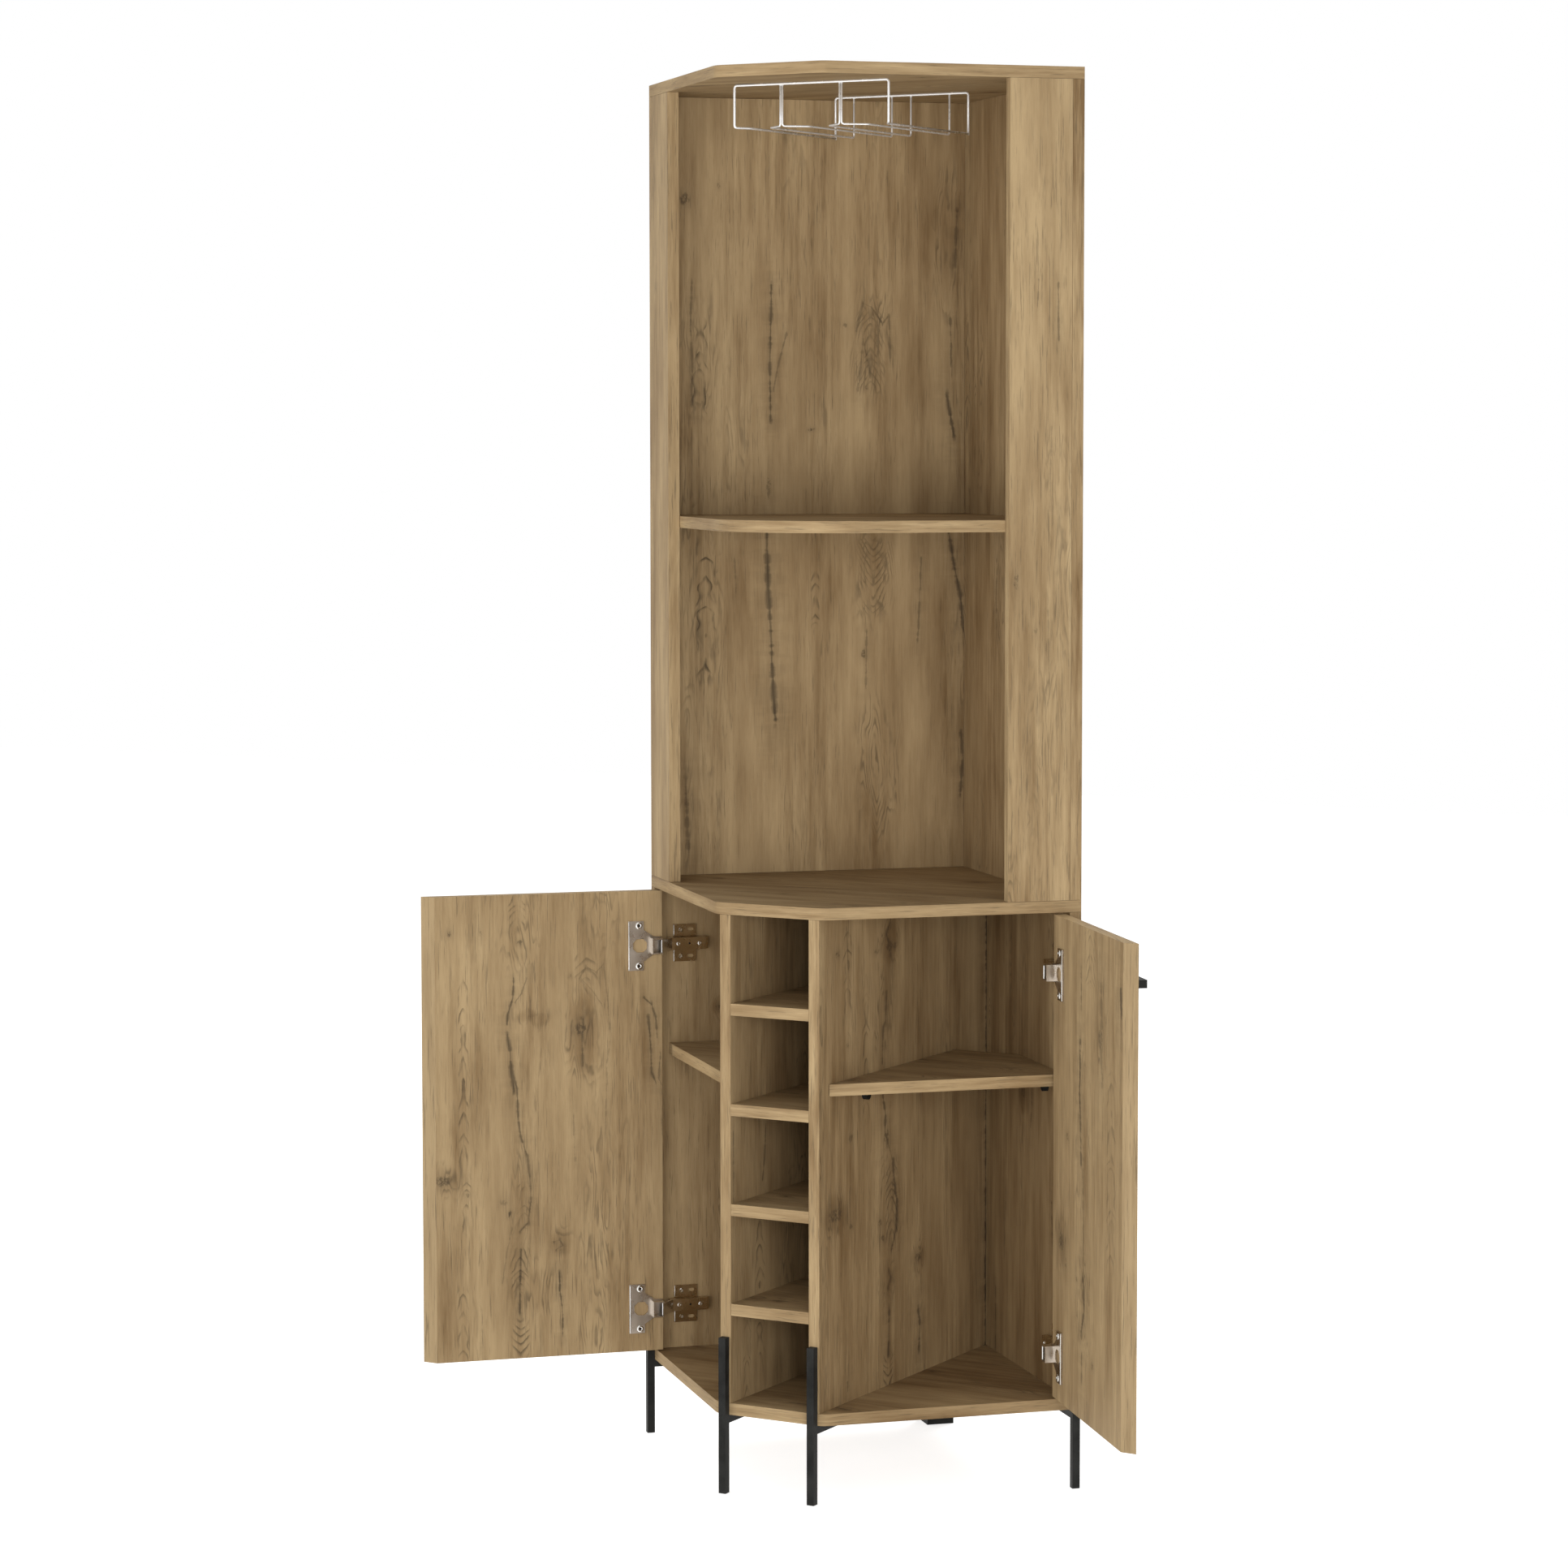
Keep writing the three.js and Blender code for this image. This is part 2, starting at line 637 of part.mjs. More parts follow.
// A bent wire's centre line: one ring of the tube at each listed point.
class WirePath extends THREE.Curve {
  constructor(corners) {
    super();
    this.points = WirePath.rounded(corners);
  }

  static rounded(corners) {
    const points = [corners[0]];
    for (let i = 1; i < corners.length - 1; i += 1) {
      const before = corners[i - 1].clone().sub(corners[i]).setLength(BEND_RADIUS).add(corners[i]);
      const after = corners[i + 1].clone().sub(corners[i]).setLength(BEND_RADIUS).add(corners[i]);
      const bend = new THREE.QuadraticBezierCurve3(before, corners[i], after);
      points.push(...bend.getPoints(BEND_STEPS));
    }
    points.push(corners[corners.length - 1]);
    return points;
  }

  getPointAt(share) {
    const last = this.points.length - 1;
    return this.points[Math.round(share * last)].clone();
  }

  getTangentAt(share) {
    const last = this.points.length - 1;
    const i = Math.round(share * last);
    const before = this.points[Math.max(i - 1, 0)];
    const here = this.points[i];
    const after = this.points[Math.min(i + 1, last)];
    const arriving = i > 0 ? here.clone().sub(before).normalize() : new THREE.Vector3();
    const leaving = i < last ? after.clone().sub(here).normalize() : new THREE.Vector3();
    return arriving.add(leaving).normalize();
  }
}

function wireTube(corners, radius) {
  const path = new WirePath(corners);
  const ring = new THREE.Shape();
  for (let i = 0; i < WIRE_SIDES; i += 1) {
    const angle = 2 * Math.PI * i / WIRE_SIDES;
    const x = radius * Math.cos(angle);
    const y = radius * Math.sin(angle);
    if (i === 0) ring.moveTo(x, y);
    else ring.lineTo(x, y);
  }
  return new THREE.ExtrudeGeometry(ring, { extrudePath: path, steps: path.points.length - 1 });
}

// The rack under the top panel: a front hoop that carries the outer rails, a rear hoop,
// and the inner rails hung between them.
function rack() {
  const front = frontY + RACK_SETBACK;
  const back = front + RACK_DEPTH;
  const high = topUnder - SEAT - HOOP_RADIUS;
  const low = high - RACK_DROP;
  const mouth = front + RACK_MOUTH;
  const at = (x, y, z) => new THREE.Vector3(x, y, z);
  const railEnd = back - HOOP_RADIUS - SEAT;
  const halfHoop = (side) => [
    at(side * OUTER_RAIL, railEnd, low),
    at(side * OUTER_RAIL, mouth, low),
    at(side * RACK_FRONT_HALF, front, low),
    at(side * RACK_FRONT_HALF, front, high),
  ];
  const frontHoop = [...halfHoop(-1), ...halfHoop(1).reverse()];
  addPiece('rack_front_hoop', wireTube(frontHoop, HOOP_RADIUS), wire);
  const foot = low - HOOP_RADIUS;
  const rearHoop = [
    at(-OUTER_RAIL, back, foot),
    at(-OUTER_RAIL, back, high),
    at(OUTER_RAIL, back, high),
    at(OUTER_RAIL, back, foot),
  ];
  addPiece('rack_rear_hoop', wireTube(rearHoop, HOOP_RADIUS), wire);
  const end = high - HOOP_RADIUS - SEAT;
  const pairHalf = RAIL_RADIUS + SEAT / 2;
  const rails = [
    ['outer_left', -POST_PAIR - pairHalf, -MIDDLE_RAIL],
    ['inner_left', -POST_PAIR + pairHalf, -INNER_RAIL],
    ['inner_right', POST_PAIR - pairHalf, INNER_RAIL],
    ['outer_right', POST_PAIR + pairHalf, MIDDLE_RAIL],
  ];
  for (const [label, post, rail] of rails) {
    const corners = [
      at(post, front, end),
      at(post, front, low),
      at(rail, mouth, low),
      at(rail, back, low),
      at(rail, back, end),
    ];
    addPiece(`rack_rail_${label}`, wireTube(corners, RAIL_RADIUS), wire);
  }
}

mainPanels();
upperBay();
cupboard();
supports();
doorsAndHinges();
rack();

export default cabinet;
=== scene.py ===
import math
import random

import bmesh
import bpy
from bpy.props import FloatProperty, FloatVectorProperty, PointerProperty
from mathutils import Matrix, Vector


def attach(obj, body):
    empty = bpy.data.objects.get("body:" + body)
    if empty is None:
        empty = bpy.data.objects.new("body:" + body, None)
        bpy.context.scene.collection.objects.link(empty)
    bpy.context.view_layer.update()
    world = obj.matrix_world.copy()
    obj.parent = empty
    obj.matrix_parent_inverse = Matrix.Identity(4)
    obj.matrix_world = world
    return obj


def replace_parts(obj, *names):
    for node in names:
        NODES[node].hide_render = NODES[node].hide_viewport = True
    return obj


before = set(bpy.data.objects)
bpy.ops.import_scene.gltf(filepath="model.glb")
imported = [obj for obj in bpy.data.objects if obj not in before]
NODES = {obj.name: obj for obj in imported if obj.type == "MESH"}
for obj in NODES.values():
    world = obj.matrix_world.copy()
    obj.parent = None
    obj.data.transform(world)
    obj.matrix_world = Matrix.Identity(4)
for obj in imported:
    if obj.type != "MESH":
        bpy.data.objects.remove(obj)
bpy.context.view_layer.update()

bl_info = {
    "name": "Corner bar cabinet",
    "version": (1, 0, 0),
    "blender": (4, 5, 0),
    "location": "View3D > Sidebar > Bar cabinet",
    "description": "Finishes and fittings for a corner bar cabinet with two hinged doors",
    "category": "Add Mesh",
}

# Sizes that the fittings share with the solids, in metres. Along is measured on a side's wall
# from the room's corner, across is measured out from that wall.
BOARD = 0.015
WALL_REACH = 0.449
CORNER_BEHIND_ORIGIN = 0.085
SEAT = 0.0003
SIDES = {"left": -1, "right": 1}
REST_TURN = {"left": -90.0, "right": 86.3}

DOOR_EDGE = 0.017
PIVOT_ALONG = WALL_REACH - 0.00155
PIVOT_ACROSS = 0.02105
HINGE_HEIGHTS = {"upper": 0.663, "lower": 0.175}
PLATE = 0.002
PLATE_TOP = BOARD + SEAT + PLATE
FLANGE_FACE = WALL_REACH - PLATE_TOP
ARM_TOP = 0.027
BASE_FRONT = WALL_REACH - 0.0255
BASE_SCREW_BACK = 0.0105
BASE_SCREW_RISE = 0.0176
BASE_HEAD = 0.0009
BASE_RECESS = 0.0007
BASE_RIM_BACK = 0.0010
BASE_RIM_RISE = 0.0168
BASE_RIM_LENGTH = 0.0155
BASE_RIM_HEIGHT = 0.0006
BASE_RIM_SHARE = 0.8
ARM_SCREW_SHARE = 0.95
ARM_RECESS_SHARE = 0.75
ARM_HOLE_BACK = 0.0201
ARM_HOLE_SHARE = 1.3
# How far back each arm screw sits and how high its head stands. The front one's head is low,
# so that the link folds over it.
ARM_SCREWS = ((0.0051, 0.00028), (0.0342, 0.0008))
DOOR_SCREW_RISE = 0.027
DOOR_SCREW_IN = 0.0319
DRIVE_HOLE_LIFT = 0.0002
FLANGE_IN = 0.0465
FLANGE_RIM_LENGTH = 0.0655
FLANGE_RIM_HEIGHT = 0.0008
RIM_MARGIN = 0.0001

RACK_FRONT = -0.365475
RACK_BACK = -0.120475
RACK_MOUTH = RACK_FRONT + 0.022
HIGH_WIRE = 1.7832
LOW_WIRE = 1.7302
HOOP_HALF = 0.098
HOOP_FRONT_HALF = 0.1107
POST_HALF = 0.0425
OUTER_RAIL_HALF = 0.0705
INNER_RAIL_HALF = 0.014
HOOP_RADIUS = 0.0015
RAIL_RADIUS = 0.00125
WIRE_BEND = 0.004
RAIL_BEAD = 0.0014
HOOP_BEAD = 0.0015
BEAD_SINK = 0.0002

# The centre that a level panel's edge grain runs round, and how far from it the edge lies
EDGE_CENTRE = -0.120
EDGE_REACH = 0.330

# Turns between faces, in degrees: the edges over the first one are rounded, and those under
# the second one are shaded as one curve.
SHARP_ANGLE = 30.0
SMOOTH_ANGLE = 12.0

# How finely the turned and bent fittings are drawn
SCREW_STEPS = 32
DOOR_SCREW_STEPS = 36
HOLE_STEPS = 24
RIM_STEPS = 10
BEND_STEPS = 8
WIRE_SIDES = 18

# The studio, in metres and degrees
FLOOR_SIZE = 9.0
FLOOR_GAP = 0.0005
FLOOR_GLOW = 0.72
LAMPS = {"right": (2.6, -3.6, 1.0), "front": (0.0, -4.2, 1.0), "left": (-2.6, -3.6, 1.0),
         "back": (0.0, 3.4, 3.2)}
LAMP_AIM = (0.0, -0.2, 0.9)
LAMP_SIZE = (2.0, 1.6)
CAMERA_PLACE = (2.6305, -5.1263, 1.3564)
CAMERA_DIP = 4.076
CAMERA_TURN = 28.661
CAMERA_SHIFT = (-0.0297, -0.0354)
CAMERA_SENSOR = 36.0

UP = Vector((0.0, 0.0, 1.0))
ROOT2 = math.sqrt(2)
WHITE = (1.0, 1.0, 1.0, 1.0)


def colour(name, text, red, green, blue):
    """A colour setting, given in linear light."""
    return FloatVectorProperty(name=name, description=text, subtype="COLOR", size=3,
                               min=0.0, max=1.0, default=(red, green, blue))


def length(name, text, default):
    """A length setting in metres."""
    return FloatProperty(name=name, description=text, default=default, min=0.0,
                         subtype="DISTANCE", unit="LENGTH", precision=5)


def share(name, text, default, high=1.0):
    """A plain number between nothing and a highest value."""
    return FloatProperty(name=name, description=text, default=default, min=0.0, max=high,
                         subtype="FACTOR")


def watts(name, text, default):
    """The power of a lamp."""
    return FloatProperty(name=name, description=text, default=default, min=0.0, unit="POWER")


class OakSettings(bpy.types.PropertyGroup):
    """The look of the oak boards"""
    light_tone: colour("Light tone", "Colour of the palest fibres", 0.436, 0.313, 0.168)
    dark_tone: colour("Dark tone", "Colour of the darker streaks", 0.190, 0.117, 0.053)
    crack_tone: colour("Crack tone", "Colour in cracks and knots", 0.042, 0.032, 0.022)
    # The joint tone is painted shade: it darkens the rounded edges where the walls meet, as the shadow in
    # their open joint.
    joint_shade_tone: colour("Joint tone", "Colour of the edges where the walls meet", 0.060, 0.042, 0.024)
    figure: share("Figure", "How strongly the grain lines show", 0.42)
    roughness: share("Roughness", "Roughness of the matt surface", 0.62)
    edge_rounding: length("Edge rounding", "Width of the rounded board edges", 0.0006)
    joint_rounding: length("Joint rounding", "Width of the edges where the walls meet", 0.0009)


class BlackSettings(bpy.types.PropertyGroup):
    """The look of the black legs, handles, foot and pins"""
    steel_colour: colour("Steel colour", "Powder coat on legs and handles", 0.013, 0.013, 0.012)
    plastic_colour: colour("Plastic colour", "Moulded foot and shelf pins", 0.010, 0.010, 0.009)
    roughness: share("Roughness", "Roughness of the coat", 0.52)
    edge_rounding: length("Edge rounding", "Width of the rounded bar edges", 0.0007)


class HingeSettings(bpy.types.PropertyGroup):
    """The look and fittings of the hinges"""
    # All three colours are the one nickel. The arm colour is darkened and browned by a painted reflection of
    # the oak, the flange colour is a paler painted reflection, and the bright colour is a lighter copy that
    # paints glints on plate edges, rims and links and is also used on the screws.
    arm_colour_with_reflection: colour("Arm colour", "Nickel on the arms and mounting plates", 0.52, 0.42, 0.28)
    flange_colour_with_reflection: colour("Flange colour", "Nickel on the door flanges", 0.63, 0.575, 0.51)
    bright_glint_colour: colour("Bright colour", "Polished screws and rims", 0.80, 0.79, 0.76)
    screw_radius: length("Screw radius", "Head of a door screw", 0.0047)
    small_radius: length("Small screw radius", "Head of a base screw", 0.0030)
    edge_rounding: length("Edge rounding", "Width of the rounded plate edges", 0.0005)
    rim_width: length("Rim width", "Width of the rolled rims on the plates", 0.0019)


class RackSettings(bpy.types.PropertyGroup):
    """The look of the wire rack"""
    wire_colour: colour("Wire colour", "Chromed wire", 0.88, 0.875, 0.86)
    roughness: share("Roughness", "Roughness of the plating", 0.26)


class StageSettings(bpy.types.PropertyGroup):
    """The studio around the cabinet"""
    floor_tone: share("Floor tone", "Brightness of the pale floor", 0.82)
    right_power: watts("Right power", "Power of the lamp at the right", 75.0)
    front_power: watts("Front power", "Power of the lamp in front", 32.0)
    left_power: watts("Left power", "Power of the lamp at the left", 42.0)
    back_power: watts("Back power", "Power of the lamp behind the cabinet", 110.0)
    room_light: share("Room light", "Strength of the even light from all sides", 0.53, 2.0)
    lens: FloatProperty(name="Lens", description="Focal length of the camera", default=98.5,
                        min=1.0, subtype="DISTANCE_CAMERA")


class CabinetSettings(bpy.types.PropertyGroup):
    """All settings of the corner bar cabinet"""
    oak: PointerProperty(type=OakSettings)
    black: PointerProperty(type=BlackSettings)
    hinge: PointerProperty(type=HingeSettings)
    rack: PointerProperty(type=RackSettings)
    stage: PointerProperty(type=StageSettings)


# Places on the cabinet

def plan_point(side, along, across, height):
    """A point at a distance along a side's wall and out from it."""
    x = SIDES[side] * (along - across) / ROOT2
    y = CORNER_BEHIND_ORIGIN - (along + across) / ROOT2
    return Vector((x, y, height))


def along_way(side):
    """The way along a side's wall, out of the room's corner."""
    return Vector((SIDES[side] / ROOT2, -1 / ROOT2, 0.0))


def across_way(side):
    """The way out from a side's wall, into the cabinet."""
    return Vector((-SIDES[side] / ROOT2, -1 / ROOT2, 0.0))


def seat_matrix(point, sideways, outward):
    """Axes for a fitting at a point: its Z points outward and its X lies sideways."""
    third = outward.cross(sideways)
    turn = Matrix((sideways, third, outward)).transposed().to_4x4()
    return Matrix.Translation(point) @ turn


def hung(matrix, side):
    """Turns a place on the closed door to where the door rests."""
    pivot = plan_point(side, PIVOT_ALONG, PIVOT_ACROSS, 0.0)
    turn = Matrix.Rotation(math.radians(REST_TURN[side]), 4, "Z")
    return Matrix.Translation(pivot) @ turn @ Matrix.Translation(-pivot) @ matrix


# Node trees

class NodeBench:
    """Adds nodes to a tree in tidy columns and joins them."""

    def __init__(self, tree):
        self.tree = tree
        self.count = 0

    def add(self, kind, **settings):
        """A new node of a kind, with its settings."""
        node = self.tree.nodes.new(kind)
        node.location = (220 * (self.count // 6), -260 * (self.count % 6))
        self.count += 1
        for key, value in settings.items():
            setattr(node, key, value)
        return node

    def feed(self, socket, value):
        """Joins a socket to a value that comes from a node, or sets a plain value on it."""
        if isinstance(value, bpy.types.NodeSocket):
            self.tree.links.new(value, socket)
        elif value is not None:
            socket.default_value = value

    def math(self, operation, *values, clamp=False):
        """A sum of plain numbers."""
        node = self.add("ShaderNodeMath", operation=operation, use_clamp=clamp)
        for socket, value in zip(node.inputs, values):
            self.feed(socket, value)
        return node.outputs[0]

    def plus(self, first, second, clamp=False):
        return self.math("ADD", first, second, clamp=clamp)

    def minus(self, first, second):
        return self.math("SUBTRACT", first, second)

    def times(self, first, second, clamp=False):
        return self.math("MULTIPLY", first, second, clamp=clamp)

    def over(self, first, second, clamp=False):
        return self.math("DIVIDE", first, second, clamp=clamp)

    def times_plus(self, first, second, third, clamp=False):
        """The first times the second, plus the third."""
        return self.math("MULTIPLY_ADD", first, second, third, clamp=clamp)

    def higher(self, first, second):
        return self.math("MAXIMUM", first, second)

    def size(self, value):
        return self.math("ABSOLUTE", value)

    def fall(self, value, rate):
        """One where the value is nothing, and less the greater it gets."""
        return self.math("EXPONENT", self.times(value, -rate))

    def squares(self, first, second):
        """The sum of two squares."""
        return self.plus(self.times(first, first), self.times(second, second))

    def swing(self, noise, amount, level):
        """A level that a noise moves up and down."""
        return self.times_plus(self.minus(noise, 0.5), amount, level)

    def vector(self, operation, first, second):
        """A sum of two places or directions."""
        node = self.add("ShaderNodeVectorMath", operation=operation)
        self.feed(node.inputs[0], first)
        self.feed(node.inputs[1], second)
        return node.outputs["Value" if operation == "DOT_PRODUCT" else "Vector"]

    def parts(self, place):
        """The three numbers of a place."""
        node = self.add("ShaderNodeSeparateXYZ")
        self.feed(node.inputs[0], place)
        return node.outputs

    def join(self, x=None, y=None, z=None):
        """A place from three numbers."""
        node = self.add("ShaderNodeCombineXYZ")
        for socket, value in zip(node.inputs, (x, y, z)):
            self.feed(socket, value)
        return node.outputs[0]

    def noise(self, place, scale, detail=2.0, roughness=0.5, stretch=None):
        """A soft noise, finer along each axis by its part of the stretch."""
        if stretch is not None:
            place = self.vector("MULTIPLY", place, stretch)
        node = self.add("ShaderNodeTexNoise")
        for name, value in (("Vector", place), ("Scale", scale), ("Detail", detail),
                            ("Roughness", roughness)):
            self.feed(node.inputs[name], value)
        return node.outputs["Fac"]

    def between(self, value, low, high, start=0.0, end=1.0):
        """A smooth step from start at low to end at high."""
        node = self.add("ShaderNodeMapRange", interpolation_type="SMOOTHSTEP")
        for name, number in (("Value", value), ("From Min", low), ("From Max", high),
                             ("To Min", start), ("To Max", end)):
            self.feed(node.inputs[name], number)
        return node.outputs["Result"]

    def mix(self, factor, first, second, kind="RGBA"):
        """From the first to the second by a factor."""
        node = self.add("ShaderNodeMix", data_type=kind)
        at_first, at_second, out = {"RGBA": (6, 7, 2), "VECTOR": (4, 5, 1), "FLOAT": (2, 3, 0)}[kind]
        self.feed(node.inputs[0], factor)
        self.feed(node.inputs[at_first], first)
        self.feed(node.inputs[at_second], second)
        return node.outputs[out]

    def bump(self, shader, height, strength, distance):
        """Lets a height shape the surface of a shader."""
        node = self.add("ShaderNodeBump")
        node.inputs["Strength"].default_value = strength
        node.inputs["Distance"].default_value = distance
        self.feed(node.inputs["Height"], height)
        self.feed(shader.inputs["Normal"], node.outputs[0])

    def group(self, tree, **values):
        """A node group with its values, which have _ for a space in their names."""
        node = self.add("ShaderNodeGroup", node_tree=tree)
        for name, value in values.items():
            self.feed(node.inputs[name.replace("_", " ")], value)
        return node.outputs


def socket_kind(title):
    """Places and normals are vectors, tones are colours and all other sockets are numbers."""
    if title in ("Place", "Normal"):
        return "NodeSocketVector"
    return "NodeSocketColor" if title.endswith(("Tone", "Colour")) else "NodeSocketFloat"


def new_group(name, inputs, outputs):
    """An empty node group with the named sockets, which have commas between them."""
    tree = bpy.data.node_groups.new(name, "ShaderNodeTree")
    for titles, way in ((inputs, "INPUT"), (outputs, "OUTPUT")):
        for title in titles.split(", "):
            tree.interface.new_socket(name=title, in_out=way, socket_type=socket_kind(title))
    bench = NodeBench(tree)
    given = bench.add("NodeGroupInput").outputs
    result = bench.add("NodeGroupOutput").inputs
    return tree, bench, given, result


def place_group(name, edge_place):
    """Board places for the grain: faces keep their own, and cut edges are given theirs."""
    tree, bench, given, result = new_group(name, "Place, Normal", "Place, Edge, Rim")
    normal = bench.parts(given["Normal"])
    cut = edge_place(bench, given, bench.parts(given["Place"]), normal)
    facing = bench.size(normal[1])
    edge = bench.math("LESS_THAN", facing, 0.75)
    bench.feed(result["Place"], bench.mix(edge, given["Place"], cut, "VECTOR"))
    bench.feed(result["Edge"], edge)
    turned_in = bench.math("GREATER_THAN", facing, 0.2)
    turned_out = bench.math("LESS_THAN", facing, 0.97)
    bench.feed(result["Rim"], bench.times(turned_in, turned_out))
    return tree


def board_edge_place(bench, given, place, normal):
    """The grain of a cut edge runs along its length."""
    run = bench.join(normal[2], None, bench.times(normal[0], -1.0))
    along = bench.vector("DOT_PRODUCT", given["Place"], run)
    through = bench.vector("DOT_PRODUCT", given["Place"], given["Normal"])
    return bench.join(place[1], through, along)


def panel_edge_place(bench, given, place, normal):
    """The edge grain of a level panel runs on round its front corners."""
    ahead = bench.minus(EDGE_CENTRE, place[0])
    angle = bench.math("ARCTAN2", place[2], ahead)
    return bench.join(place[1], None, bench.times(angle, EDGE_REACH))


def off_centre(bench, given):
    """How far a place lies aside and above a mark's centre, in its half sizes, and its height."""
    place = bench.parts(given["Place"])
    aside = bench.over(bench.minus(place[0], given["Across"]), given["Half Width"])
    above = bench.over(bench.minus(place[2], given["Height"]), given["Half Length"])
    return aside, above, place[2]


def swirl_group():
    """Grain that parts round a place: it pushes the ring lines aside and shades the wood."""
    tree, bench, given, result = new_group(
        "oak swirl", "Place, Across, Height, Half Width, Half Length, Rings, Shade, "
        "Rings Sum, Near Sum, Shade Sum", "Rings, Near, Shade")
    spread = bench.squares(*off_centre(bench, given)[:2])
    push = bench.fall(spread, 0.9)
    bench.feed(result["Rings"], bench.times_plus(push, given["Rings"], given["Rings Sum"]))
    near = bench.between(spread, 0.4, 2.6, 1.0, 0.0)
    bench.feed(result["Near"], bench.higher(near, given["Near Sum"]))
    dull = bench.times(bench.between(spread, 0.15, 1.25, 1.0, 0.0), given["Shade"])
    bench.feed(result["Shade"], bench.higher(dull, given["Shade Sum"]))
    return tree


def blotch_group():
    """The dark mottled heart of a knot, in a weak haze."""
    tree, bench, given, result = new_group(
        "oak blotch", "Place, Speck, Across, Height, Half Width, Half Length, Depth, Dark Sum", "Dark")
    spread = bench.squares(*off_centre(bench, given)[:2])
    core = bench.times(bench.between(spread, 0.1, 1.1, 1.0, 0.0),
                       bench.between(given["Speck"], 0.40, 0.56, 0.30, 1.0))
    haze = bench.times(bench.fall(spread, 0.45), 0.34)
    dark = bench.times(bench.higher(core, haze), given["Depth"])
    bench.feed(result["Dark"], bench.higher(dark, given["Dark Sum"]))
    return tree


def crack_group():
    """One stretch of a crack between two points, ragged and stained."""
    tree, bench, given, result = new_group(
        "oak crack", "Place, Swell, From Across, From Height, To Across, To Height, Half Width, "
        "Depth, Dark Sum", "Dark")
    place = bench.parts(given["Place"])
    rise = bench.minus(given["To Height"], given["From Height"])
    way = bench.over(bench.minus(place[2], given["From Height"]), rise, clamp=True)
    lean = bench.minus(given["To Across"], given["From Across"])
    middle = bench.times_plus(way, lean, given["From Across"])
    level = bench.times_plus(way, rise, given["From Height"])
    aside = bench.minus(place[0], middle)
    beyond = bench.times(bench.minus(place[2], level), 0.4)
    width = bench.times(given["Half Width"], given["Swell"])
    square = bench.over(bench.squares(aside, beyond), bench.times(width, width))
    core = bench.fall(square, 1.1)
    stain = bench.times(bench.fall(square, 0.05), 0.20)
    dark = bench.times(bench.higher(core, stain), given["Depth"])
    dark = bench.times(dark, bench.between(given["Swell"], 0.55, 1.0, 0.80, 1.0))
    bench.feed(result["Dark"], bench.higher(dark, given["Dark Sum"]))
    return tree


def feather_group():
    """A narrow band of nested arches that run up the grain."""
    tree, bench, given, result = new_group(
        "oak feather", "Place, Jitter, Across, Height, Half Width, Half Length, Spacing, Reach, "
        "Strength, Line Sum", "Line")
    aside, above, height = off_centre(bench, given)
    aside, above = bench.size(aside), bench.size(above)
    bow = bench.times(bench.math("POWER", aside, 1.4), given["Reach"])
    rings = bench.over(bench.plus(height, bow), given["Spacing"])
    saw = bench.math("FRACT", bench.times_plus(given["Jitter"], 3.2, rings))
    line = bench.times(bench.between(saw, 0.45, 0.88), bench.between(saw, 0.88, 1.0, 1.0, 0.0))
    fade = bench.times(bench.between(aside, 0.75, 1.15, 1.0, 0.0), bench.between(above, 0.7, 1.0, 1.0, 0.0))
    shown = bench.times(bench.times(line, fade), given["Strength"])
    bench.feed(result["Line"], bench.higher(shown, given["Line Sum"]))
    return tree


# How fine each noise of the oak is through the width, thickness and grain of a board
BROAD = (13.0, 40.0, 1.9)
CLOUD = (33.0, 40.0, 6.0)
STREAK = (115.0, 60.0, 5.6)
FIBRE = (520.0, 200.0, 19.0)
GRIT = (1300.0, 300.0, 60.0)
FLAME = (34.0, 40.0, 4.2)
WOBBLE = (120.0, 40.0, 26.0)
PATCH = (17.0, 40.0, 1.3)
FAINT = (75.0, 40.0, 26.0)
BEND = (46.0, 30.0, 22.0)
TORN = (380.0, 60.0, 120.0)
STRAY = (110.0, 60.0, 90.0)
SPECK = (300.0, 60.0, 240.0)
SWELL = (20.0, 60.0, 75.0)
DRIFT = (9.0, 60.0, 30.0)


